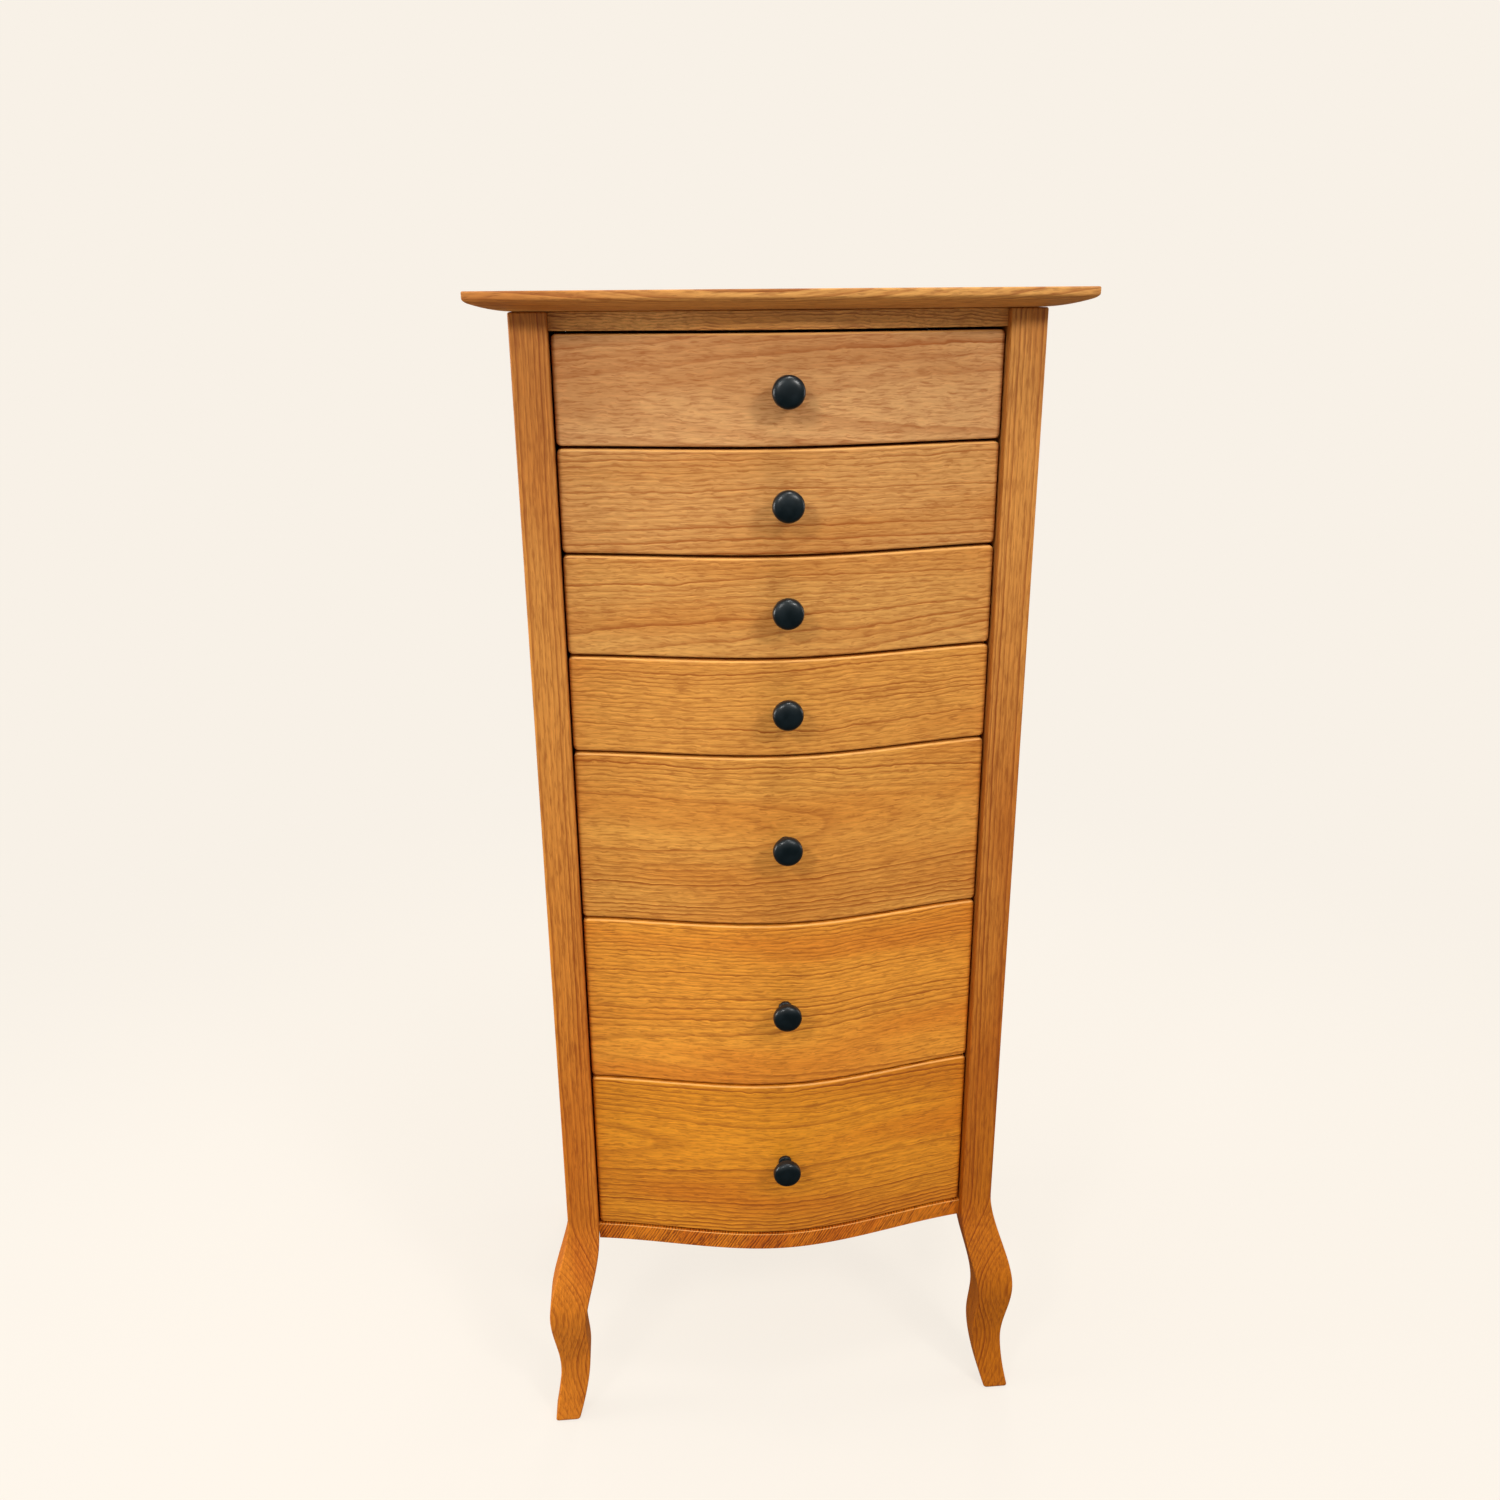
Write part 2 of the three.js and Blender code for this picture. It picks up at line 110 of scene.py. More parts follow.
def put(tree, kind, sockets=(), **options):
    """Add a node, link or fill its sockets, and set its options."""
    made = tree.nodes.new("ShaderNode" + kind)
    for option, value in options.items():
        setattr(made, option, value)
    for key, value in dict(sockets).items():
        if isinstance(value, bpy.types.NodeSocket):
            tree.links.new(value, made.inputs[key])
        else:
            made.inputs[key].default_value = value
    return made


def calc(tree, operation, *values):
    return put(tree, "Math", dict(enumerate(values)), operation=operation).outputs[0]


def noise(tree, vector, stretch, detail=2.0, roughness=0.5):
    longer = put(tree, "VectorMath", {0: vector, 1: stretch}, operation="MULTIPLY").outputs[0]
    sockets = {"Vector": longer, "Scale": 1.0, "Detail": detail, "Roughness": roughness}
    return put(tree, "TexNoise", sockets).outputs["Fac"]


def ease(tree, value, low, high, to_low=0.0, to_high=1.0):
    """A soft step: to_low below low, to_high above high."""
    sockets = {
        "Value": value, "From Min": low, "From Max": high, "To Min": to_low, "To Max": to_high,
    }
    return put(tree, "MapRange", sockets, interpolation_type="SMOOTHSTEP").outputs["Result"]


def blend_colour(tree, share, first, second, how="MIX"):
    mix = put(tree, "Mix", {0: share}, data_type="RGBA", blend_type=how)
    for socket, value in ((mix.inputs[6], first), (mix.inputs[7], second)):
        if isinstance(value, bpy.types.NodeSocket):
            tree.links.new(value, socket)
        else:
            socket.default_value = value
    return mix.outputs[2]


def new_group(name, inputs, outputs):
    """A node group, with what it is given and what it gives back."""
    group = bpy.data.node_groups.new(name, "ShaderNodeTree")
    sockets = group.interface
    for label, kind, value in inputs:
        socket = sockets.new_socket(name=label, in_out="INPUT", socket_type="NodeSocket" + kind)
        if value is not None:
            socket.default_value = value
    for label, kind in outputs:
        sockets.new_socket(name=label, in_out="OUTPUT", socket_type="NodeSocket" + kind)
    given = group.nodes.new("NodeGroupInput").outputs
    return group, given, group.nodes.new("NodeGroupOutput").inputs


print("helpers ready")

# %% [markdown]
# Oak is ring-porous: each year starts with a band of open pores, which takes
# up stain and shows as a darker line, and fades into dense pale wood. A board
# cuts through those rings. The group below measures the distance from the
# tree's heart, wanders it with noise, and splits it into years. X runs along
# the grain. Long fibres, short wavy dashes where pores are cut open, and broad
# reddish patches are laid over the lines. One group serves every oak piece,
# each with its own values.

# %% Oak grain: its sockets and its wandering lines
oak_grain, given, result = new_group(
    "oak_grain",
    [
        ("Vector", "Vector", None), ("Ring Width", "Float", 0.004), ("Wander", "Float", 0.02),
        ("Waver", "Float", 1.0), ("Line Strength", "Float", 0.7), ("Fleck Strength", "Float", 0.5),
        ("Pale", "Color", colour(222, 156, 80)), ("Deep", "Color", colour(198, 120, 50)),
        ("Line", "Color", colour(176, 96, 36)), ("Pore", "Color", colour(120, 62, 24)),
    ],
    [("Color", "Color"), ("Roughness", "Float"), ("Height", "Float")],
)
tree = oak_grain
place = given["Vector"]


def drift(vector, stretch, amount, detail=1.0):
    """A wandering distance, up to half of amount either way."""
    either_way = calc(tree, "SUBTRACT", noise(tree, vector, stretch, detail), 0.5)
    return calc(tree, "MULTIPLY", either_way, amount)


ripple = drift(place, (85, 120, 120), 0.0026)
wave = calc(tree, "ADD", ripple, drift(place, (24, 45, 45), 0.006, 2))
wave = calc(tree, "MULTIPLY", wave, given["Waver"])
shift = put(tree, "CombineXYZ", {1: wave, 2: wave}).outputs[0]
fine = put(tree, "VectorMath", {0: place, 1: shift}, operation="ADD").outputs[0]
axes = put(tree, "SeparateXYZ", {0: place}).outputs
bend = drift(place, (1.5, 3.0, 3.0), given["Wander"])
sway = calc(tree, "MULTIPLY", drift(place, (6, 12, 12), 0.014, 1), given["Waver"])
across = calc(tree, "ADD", calc(tree, "ADD", axes["Z"], wave), calc(tree, "ADD", bend, sway))
deep_in = calc(tree, "ADD", axes["Y"], bend)
across_squared = calc(tree, "MULTIPLY", across, across)
deep_squared = calc(tree, "MULTIPLY", deep_in, deep_in)
heart = calc(tree, "SQRT", calc(tree, "ADD", across_squared, deep_squared))
years = calc(tree, "DIVIDE", heart, given["Ring Width"])
print("wandering lines", len(oak_grain.nodes), "nodes")

# %% Oak grain: years, flecks and colours
season = calc(tree, "FRACT", years)
year = calc(tree, "FLOOR", years)
good_year = put(tree, "TexWhiteNoise", {"W": year}, noise_dimensions="1D").outputs["Value"]
# How strongly the year lines show from place to place.
line_fade_and_post_shade = ease(tree, noise(tree, place, (4, 30, 30), 2), 0.32, 0.6, 0.65, 1.0)
steep = calc(tree, "DIVIDE", calc(tree, "ABSOLUTE", across), heart)
upright = ease(tree, steep, 0.15, 0.7, 0.35, 1.0)
dying_away = calc(tree, "POWER", calc(tree, "SUBTRACT", 1.0, season), 2.2)
line = calc(tree, "MULTIPLY", ease(tree, season, 0.0, 0.1), dying_away)
line = calc(tree, "MULTIPLY", line, ease(tree, good_year, 0.1, 1.0, 0.6, 1.35))
part_year = calc(tree, "FRACT", calc(tree, "MULTIPLY", years, 2.6))
minor = calc(tree, "POWER", calc(tree, "SUBTRACT", 1.0, part_year), 2.0)
minor = calc(tree, "MULTIPLY", minor, 0.32)
kept = calc(tree, "MULTIPLY", line_fade_and_post_shade, upright)
line = calc(tree, "MULTIPLY", calc(tree, "MAXIMUM", line, minor), kept)
patch = ease(tree, noise(tree, place, (2.4, 15, 15), 2, 0.5), 0.42, 0.70)
fibre = noise(tree, fine, (46, 460, 460), 2, 0.55)
dash = ease(tree, noise(tree, fine, (60, 520, 520), 1), 0.58, 0.68)
tone = blend_colour(tree, patch, given["Pale"], given["Deep"])
strong = calc(tree, "MULTIPLY", line, given["Line Strength"])
tone = blend_colour(tree, calc(tree, "MINIMUM", strong, 0.95), tone, given["Line"])
flecks = calc(tree, "MULTIPLY", dash, given["Fleck Strength"])
tone = blend_colour(tree, flecks, tone, given["Pore"])
tone = blend_colour(tree, ease(tree, fibre, 0.28, 0.52, 0.46, 0.0), tone, given["Line"])
shade = ease(tree, fibre, 0.48, 0.72, 1.0, 1.14)
grey = put(tree, "CombineXYZ", {0: shade, 1: shade, 2: shade}).outputs[0]
tone = blend_colour(tree, 1.0, tone, grey, "MULTIPLY")
tree.links.new(tone, result["Color"])
open_pores = calc(tree, "MULTIPLY", dash, 0.12)
gloss = calc(tree, "ADD", ease(tree, fibre, 0.3, 0.7, 0.50, 0.58), open_pores)
tree.links.new(gloss, result["Roughness"])
hollow = calc(tree, "ADD", calc(tree, "MULTIPLY", line, 0.35), calc(tree, "MULTIPLY", dash, 0.8))
tree.links.new(calc(tree, "SUBTRACT", calc(tree, "MULTIPLY", fibre, 0.4), hollow), result["Height"])
print(len(oak_grain.nodes), "nodes in the oak")

# %% [markdown]
# Hands and cloths rub the lacquer thin along the edges, where it turns a
# little paler. The Bevel node looks at the surface just round a point: where
# its rounded normal leaves the true one, there is an edge. Noise breaks the
# mark up, so that it doesn't run evenly along every edge.

# %% Worn edges
worn_edges, given, result = new_group(
    "worn_edges", [("Reach", "Float", 0.002), ("Vector", "Vector", None)], [("Mask", "Float")]
)
tree = worn_edges
rounded = put(tree, "Bevel", {"Radius": given["Reach"]}, samples=6).outputs[0]
true = put(tree, "NewGeometry").outputs["Normal"]
agree = put(tree, "VectorMath", {0: rounded, 1: true}, operation="DOT_PRODUCT").outputs["Value"]
edge = ease(tree, calc(tree, "SUBTRACT", 1.0, agree), 0.01, 0.2)
broken = ease(tree, noise(tree, given["Vector"], (45, 45, 45), 3), 0.35, 0.65, 0.25, 1.0)
tree.links.new(calc(tree, "MULTIPLY", edge, broken), result["Mask"])
print("worn edges ready")

# %% [markdown]
# An oak finish puts the two groups together. The Mapping node turns the grain
# along the piece and moves it to a place of its own in the tree, so that no
# two boards match. A drawer front is faced with veneer that follows its
# curve, so its pattern is squashed flat in depth, except on its level edges,
# which show the grain of the board below. Its rounded top edge is painted a
# paler line, a painted highlight where the edge would catch the light from
# above. A post's colour is tinted by height with painted light and shade:
# warmer and, on the right post, darker towards the foot, and paler and greyer
# towards the head. The satin lacquer is a thin coat on the shader itself.

# %% A finish for any oak piece
ALONG_X = (0, 0, 0)
ALONG_Y = (0, 0, -math.pi / 2)
ALONG_Z = (0, math.pi / 2, 0)
UP_A_SIDE = (math.pi / 2, 0, math.pi / 2)
SOLID = (1, 1, 1)
VENEER = (1, 0, 1)
LEVEL_SHEET = (1, 1, 0)
RUBBED = colour(232, 178, 110)
# The paler warm colour of the painted highlight line along a rounded top edge.
EDGE_HIGHLIGHT_COLOUR = colour(248, 192, 108)


def finish_material(name):
    material = bpy.data.materials.new(name)
    material.use_nodes = True
    tree = material.node_tree
    return material, tree, tree.nodes["Principled BSDF"]


def facing_up(tree):
    """1 where the surface faces up, 0 where it is upright, -1 where it faces down."""
    normal = put(tree, "NewGeometry").outputs["Normal"]
    return put(tree, "SeparateXYZ", {0: normal}).outputs["Z"]


def board_grain_on_edges(tree, here, along):
    """Give the level edges of a veneered piece their depth back."""
    level = ease(tree, calc(tree, "ABSOLUTE", facing_up(tree)), 0.9, 0.98)
    depth = calc(tree, "MULTIPLY", put(tree, "SeparateXYZ", {0: here}).outputs["Y"], level)
    across = put(tree, "CombineXYZ", {1: depth}).outputs[0]
    return put(tree, "VectorMath", {0: along, 1: across}, operation="ADD").outputs[0]


def oak(name, place, turn=ALONG_X, cut=SOLID, ring=0.003, wander=0.03, strength=1.1,
        fleck=0.3, waver=1.0, tones=(), painted_light_and_shade=None, painted_edge_highlight=False):
    """An oak finish. place is where in the tree the piece was cut, in metres from its heart."""
    material, tree, shader = finish_material(name)
    here = put(tree, "TexCoord").outputs["Object"]
    sockets = {"Vector": here, "Location": place, "Rotation": turn, "Scale": cut}
    along = put(tree, "Mapping", sockets).outputs[0]
    if cut == VENEER:
        along = board_grain_on_edges(tree, here, along)
    grain = put(tree, "Group", node_tree=oak_grain)
    tree.links.new(along, grain.inputs["Vector"])
    values = {
        "Ring Width": ring, "Wander": wander, "Waver": waver,
        "Line Strength": strength, "Fleck Strength": fleck, **dict(tones),
    }
    for key, value in values.items():
        grain.inputs[key].default_value = value
    wear = put(tree, "Group", node_tree=worn_edges)
    tree.links.new(here, wear.inputs["Vector"])
    rubbed = calc(tree, "MULTIPLY", wear.outputs["Mask"], 0.35)
    tone = grain.outputs["Color"]
    if painted_light_and_shade:
        # Painted light and shade: the colour is tinted by height, from the foot's tint to the
        # head's.
        height = put(tree, "SeparateXYZ", {0: here}).outputs["Z"]
        tint = blend_colour(tree, ease(tree, height, 0.1, 1.35), painted_light_and_shade[0], painted_light_and_shade[1])
        tone = blend_colour(tree, 1.0, tone, tint, "MULTIPLY")
    tone = blend_colour(tree, rubbed, tone, RUBBED)
    # Painted highlight: where an edge faces partly up, short of level, it is painted a paler warm
    # line, as if it caught the light from above.
    if painted_edge_highlight:
        upward = facing_up(tree)
        short_of_level = ease(tree, upward, 0.86, 0.98, 0.5, 0.0)
        edge_highlight_share = calc(tree, "MULTIPLY", ease(tree, upward, 0.2, 0.6), short_of_level)
        tone = blend_colour(tree, edge_highlight_share, tone, EDGE_HIGHLIGHT_COLOUR)
    tree.links.new(tone, shader.inputs["Base Color"])
    tree.links.new(grain.outputs["Roughness"], shader.inputs["Roughness"])
    relief = {"Strength": 0.35, "Distance": 0.0004, "Height": grain.outputs["Height"]}
    bump = put(tree, "Bump", relief)
    tree.links.new(bump.outputs[0], shader.inputs["Normal"])
    shader.inputs["Coat Weight"].default_value = 0.10
    shader.inputs["Coat Roughness"].default_value = 0.35
    shader.inputs["Specular IOR Level"].default_value = 0.25
    return material


print("oak finish ready")

# %% [markdown]
# The seven fronts are cut from different boards. Their colour runs from a
# pale brown at the top of the chest to a warm orange at the bottom: partly the
# boards' own tones, and partly a painted pale haze of light that grows towards
# the top. Their year rings lie closer together on the lower ones. Each has a
# row of tones, and a row that says where in the tree its veneer was sliced,
# how far it is tilted, how wide its rings are, how far they wander and how
# dark they are.

# %% Veneers for the fronts
# Tones from the top front down; the paler, greyer upper ones include a painted haze of light.
FRONT_TONES = [
    (colour(212, 159, 101), colour(196, 138, 81)),
    (colour(213, 157, 89), colour(203, 141, 70)),
    (colour(217, 159, 83), colour(207, 142, 67)),
    (colour(223, 157, 71), colour(213, 139, 56)),
    (colour(227, 161, 72), colour(217, 144, 58)),
    (colour(241, 162, 56), colour(229, 141, 43)),
    (colour(236, 154, 38), colour(219, 130, 29)),
]
FRONT_CUTS = [
    ((0.3, 0.090, -1.275), -0.030, 0.0064, 0.05, 0.9),
    ((1.4, 0.070, -1.070), 0.030, 0.0060, 0.04, 0.95),
    ((2.7, 0.070, -1.005), -0.035, 0.0046, 0.04, 1.0),
    ((3.9, 0.060, -0.840), 0.020, 0.0046, 0.03, 1.05),
    ((5.2, 0.075, -0.825), 0.025, 0.0040, 0.035, 1.25),
    ((6.8, 0.060, -0.530), -0.020, 0.0048, 0.03, 0.95),
    ((8.3, 0.080, -0.405), 0.020, 0.0046, 0.035, 1.4),
]
FRONT_LINES = {"Line": colour(154, 78, 18), "Pore": colour(150, 74, 20)}
front_oak = []
# Each front's rounded top edge carries the painted highlight line.
for number, (sliced, (pale, deep)) in enumerate(zip(FRONT_CUTS, FRONT_TONES), 1):
    place, tilt, ring, wander, strength = sliced
    front_oak.append(oak(
        f"oak_front_{number}", place, (0, 0, tilt), VENEER, ring, wander, strength,
        tones={"Pale": pale, "Deep": deep, **FRONT_LINES}, painted_edge_highlight=True,
    ))
print(len(front_oak), "veneers for the fronts")

# %% [markdown]
# The frame is solid oak. Posts are cut with their rings close and straight,
# as a leg with wild grain would split. The apron is cut on the slant, so its
# strokes run across it. The top board and the side panels are plain-sawn,
# close to the heart, which gives long arches.

# %% Solid oak for the frame
APRON_TONES = {
    "Pale": colour(240, 140, 28), "Deep": colour(220, 114, 18), "Line": colour(112, 42, 5),
    "Pore": colour(136, 62, 14),
}
POST_TONES = {
    "Pale": colour(204, 126, 48), "Deep": colour(188, 106, 34), "Line": colour(134, 58, 10),
    "Pore": colour(136, 64, 12),
}
TOP_TONES = {
    "Pale": colour(212, 154, 82), "Deep": colour(192, 122, 54), "Line": colour(150, 82, 26),
}
RAIL_TONES = {
    "Pale": colour(232, 144, 42), "Deep": colour(214, 122, 30), "Line": colour(150, 66, 10),
}
# The rail under the top's overhang has paler, greyer tones than the other rails: painted light that
# lifts the overhang's shade and adds a pale haze.
TOP_RAIL_TONES = {
    "Pale": colour(236, 176, 98), "Deep": colour(220, 154, 76), "Line": colour(156, 88, 40),
}
PANEL_TONES = {
    "Pale": colour(212, 142, 56), "Deep": colour(192, 114, 36), "Line": colour(152, 78, 18),
}
# Painted light and shade on a post: its tint at the foot and at the head, darker on the right post.
POST_LIGHT_AND_SHADE = {
    "left": ((1.20, 1.08, 0.45, 1), (1.06, 1.35, 2.0, 1)),
    "right": ((0.93, 0.77, 0.08, 1), (1.04, 1.30, 1.9, 1)),
}
POST_PLACES = {
    "post_front_left": (0.2, 0.290, -0.318), "post_front_right": (1.9, 0.290, 0.318),
    "post_rear_left": (3.1, -0.130, -0.318), "post_rear_right": (4.6, -0.140, 0.318),
}
straight = {"turn": ALONG_Z, "ring": 0.0027, "wander": 0.008, "strength": 1.3, "waver": 0.3}
post_oak = {}
for node, place in POST_PLACES.items():
    line_fade_and_post_shade = POST_LIGHT_AND_SHADE[node.split("_")[2]]
    name = node.replace("post", "oak_post")
    post_oak[node] = oak(name, place, painted_light_and_shade=line_fade_and_post_shade, tones=POST_TONES, **straight)
top_oak = oak(
    "oak_top", (0.7, 0.06, -1.27), (0, 0.035, 0.015), ring=0.0056, waver=0.4, tones=TOP_TONES
)
rail_oak = oak("oak_rail", (2.2, 0.30, -0.28), tones=RAIL_TONES)
# The top rail's paler tones are painted light over the overhang's shade.
top_rail_oak = oak("oak_rail_painted_light", (4.2, 0.30, -0.28), tones=TOP_RAIL_TONES)
# The apron's rounded top edge carries the same painted highlight line.
apron_oak = oak(
    "oak_apron", (3.4, 0.20, 0.60), (0, 0.80, 0), (1.6, 1, 1),
    ring=0.0042, strength=1.3, fleck=1.0, waver=0.6, tones=APRON_TONES, painted_edge_highlight=True,
)
side_rail_oak = oak("oak_side_rail", (1.1, 0.34, 0.1), ALONG_Y, tones=POST_TONES)
side_panel_oak = oak(
    "oak_side_panel", (5.3, 0.075, -0.050), UP_A_SIDE, (0, 1, 1),
    ring=0.0046, wander=0.06, tones=PANEL_TONES,
)
print("oak for", len(post_oak), "posts, the rails, the panels and the top")

# %% [markdown]
# Inside the chest the wood is plainer. The drawer boxes are pale solid wood
# with a fine straight grain, and the back, the dust panel and the drawer
# bottoms are birch plywood, whose peeled face shows wide soft waves. The same
# oak group can draw both, with wide rings and weak lines.

# %% Inside woods
box_tones = {
    "Pale": colour(226, 194, 148), "Deep": colour(214, 178, 130), "Line": colour(190, 148, 98),
    "Pore": colour(168, 126, 80),
}
faint = {"ring": 0.0045, "strength": 0.5, "fleck": 0.2, "tones": box_tones}
box_wood = oak("drawer_wood", (0.4, 0.21, 0.05), ALONG_Y, **faint)
box_wood_across = oak("drawer_wood_across", (1.4, 0.25, -0.4), ALONG_X, **faint)
ply_tones = {
    "Pale": colour(230, 194, 140), "Deep": colour(218, 178, 122), "Line": colour(196, 148, 94),
    "Pore": colour(164, 122, 78),
}
peeled = {"ring": 0.012, "wander": 0.12, "strength": 0.4, "fleck": 0.15, "tones": ply_tones}
ply_flat = oak("plywood_flat", (2.0, 0.3, 0.02), ALONG_X, LEVEL_SHEET, **peeled)
ply_upright = oak("plywood_upright", (6.0, 0.02, 0.1), ALONG_Z, VENEER, **peeled)
print("drawer wood and plywood ready")

# %% [markdown]
# The knobs are painted a satin black with a hint of green and blue, rubbed
# greyer round the rim. The screws are zinc: bare metal, a little clouded.

# %% Knob and screw finishes
knob_black, tree, shader = finish_material("knob_black")
here = put(tree, "TexCoord").outputs["Object"]
wear = put(tree, "Group", node_tree=worn_edges)
tree.links.new(here, wear.inputs["Vector"])
wear.inputs["Reach"].default_value = 0.0012
cloud = noise(tree, here, (90, 90, 90), 3)
tone = blend_colour(tree, ease(tree, cloud, 0.35, 0.7), colour(4, 17, 22), colour(8, 23, 29))
rubbed = calc(tree, "MULTIPLY", wear.outputs["Mask"], 0.3)
tone = blend_colour(tree, rubbed, tone, colour(44, 54, 58))
tree.links.new(tone, shader.inputs["Base Color"])
tree.links.new(ease(tree, cloud, 0.3, 0.7, 0.28, 0.38), shader.inputs["Roughness"])
specks = noise(tree, here, (900, 900, 900), 1)
bump = put(tree, "Bump", {"Strength": 0.15, "Distance": 0.0002, "Height": specks})
tree.links.new(bump.outputs[0], shader.inputs["Normal"])
shader.inputs["Specular IOR Level"].default_value = 0.42

screw_zinc, tree, shader = finish_material("screw_zinc")
here = put(tree, "TexCoord").outputs["Object"]
cloud = noise(tree, here, (400, 400, 400), 3)
tone = blend_colour(tree, ease(tree, cloud, 0.3, 0.7), colour(176, 176, 170), colour(140, 138, 128))
tree.links.new(tone, shader.inputs["Base Color"])
tree.links.new(ease(tree, cloud, 0.3, 0.7, 0.28, 0.5), shader.inputs["Roughness"])
shader.inputs["Metallic"].default_value = 1.0
print("knob and screw finishes ready")

# %% [markdown]
# Pieces are modelled in edit mode with the same tools as by hand. A block is
# a cube given its real size and place, and a part of it is chosen by where it
# lies or which way it faces. When a piece is done, its edges are shaded
# smooth, with the normals weighted so that the broad faces stay flat, and it
# rides on its body.

# %% Helpers for shapes
def block(name, low, high):
    """A box between two corners."""
    bpy.ops.object.select_all(action="DESELECT")
    low, high = Vector(low), Vector(high)
    bpy.ops.mesh.primitive_cube_add(size=1, location=(low + high) / 2)
    piece = bpy.context.object
    piece.name = name
    piece.scale = high - low
    bpy.ops.object.transform_apply(location=True, rotation=True, scale=True)
    return piece


def choose(what, test):
    """Select the points, edges or faces that pass the test, in edit mode, and count them."""
    bpy.ops.mesh.select_mode(type={"verts": "VERT", "edges": "EDGE", "faces": "FACE"}[what])
    bpy.ops.mesh.select_all(action="DESELECT")
    mesh = bmesh.from_edit_mesh(bpy.context.object.data)
    mesh.normal_update()
    found = [part for part in getattr(mesh, what) if test(part)]
    for part in found:
        part.select_set(True)
    mesh.select_flush_mode()
    bmesh.update_edit_mesh(bpy.context.object.data)
    return len(found)


def edit():
    bpy.ops.object.mode_set(mode="EDIT")


def leave():
    bpy.ops.object.mode_set(mode="OBJECT")


def smooth(piece, degrees=40):
    """Shade smooth across edges flatter than the angle, and keep broad faces flat."""
    bpy.ops.object.select_all(action="DESELECT")
    piece.select_set(True)
    bpy.context.view_layer.objects.active = piece
    bpy.ops.object.shade_smooth_by_angle(angle=math.radians(degrees))
    weighted = piece.modifiers.new("weighted", "WEIGHTED_NORMAL")
    weighted.keep_sharp = True
    bpy.ops.object.modifier_apply(modifier=weighted.name)


def round_edges(piece, width, segments=2, degrees=60):
    """Round every edge that is sharper than the angle."""
    bevel = piece.modifiers.new("rounded", "BEVEL")
    bevel.width = width
    bevel.segments = segments
    bevel.limit_method = "ANGLE"
    bevel.angle_limit = math.radians(degrees)
    bpy.context.view_layer.objects.active = piece
    bpy.ops.object.modifier_apply(modifier=bevel.name)


def dress(piece, body, material, stands_for=None):
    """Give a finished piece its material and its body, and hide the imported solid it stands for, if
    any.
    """
    piece.data.materials.clear()
    piece.data.materials.append(material)
    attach(piece, body)
    if stands_for:
        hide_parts(stands_for)
    return piece


def copy_piece(piece, name, shift=(0, 0, 0), mirror=False):
    """A copy with a mesh of its own, moved, or mirrored from side to side."""
    twin = bpy.data.objects.new(name, piece.data.copy())
    bpy.context.scene.collection.objects.link(twin)
    twin.data.transform(Matrix.Translation(shift))
    if mirror:
        bpy.ops.object.select_all(action="DESELECT")
        twin.select_set(True)
        bpy.context.view_layer.objects.active = twin
        edit()
        bpy.ops.mesh.select_all(action="SELECT")
        bpy.ops.transform.resize(value=(-1, 1, 1), center_override=(0, 0, 0))
        bpy.ops.mesh.normals_make_consistent(inside=False)
        leave()
    return twin


print("shape helpers ready")

# %% [markdown]
# The sizes that the pieces share, in metres. The front faces of the posts lie
# in one plane, and the drawer fronts start behind it at their ends and swell
# out past it in the middle. Part of the swell follows a smooth falloff, and
# the rest one that dies away faster.

# %% Sizes
POST_FRONT = -0.165
BACK = 0.235
HEIGHT = 1.388
HALF_CASE = 0.27
POST = 0.038
POST_HEAD = 1.36875
HALF_OPENING = HALF_CASE - POST
FRONT_END = POST_FRONT + 0.013
FRONT_THICKNESS = 0.02
SIDE_GAP = 0.002
BOW = 0.042
SMOOTH_SHARE = 0.6
STEPS_ACROSS = 47
FRONT_BOXES = [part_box(f"drawer_{number}_front") for number in range(1, 8)]
FRONT_LOWS = [low.z for low, high in FRONT_BOXES]
FRONT_HEIGHTS = [high.z - low.z for low, high in FRONT_BOXES]
CREST = FRONT_END - BOW


def swell_out(bow, reach):
    """Push the chosen middle forwards, and draw the rest after it along the serpentine line."""
    for falloff, share in (("INVERSE_SQUARE", 1 - SMOOTH_SHARE), ("SMOOTH", SMOOTH_SHARE)):
        bpy.ops.transform.translate(
            value=(0, -bow * share, 0), use_proportional_edit=True,
            proportional_edit_falloff=falloff, proportional_size=reach,
        )


def cut_across():
    """Divide every long edge that runs from side to side."""
    choose("edges", lambda e: abs(e.verts[0].co.x - e.verts[1].co.x) > 0.1)
    bpy.ops.mesh.subdivide(number_cuts=STEPS_ACROSS)


print("crest of the fronts at y =", round(CREST, 4))

# %% [markdown]
# A drawer front is a block, 20 mm thick, with small round corners and a
# softly rounded show edge, bent to the serpentine line. The bending comes
# last, while the corners are easy to find. The middle column of points is
# pushed forwards with proportional editing, and two falloffs together give
# the curve that swells in the middle and turns back level at the ends. Drawers
# two, three and four are alike, so one front is modelled for them.

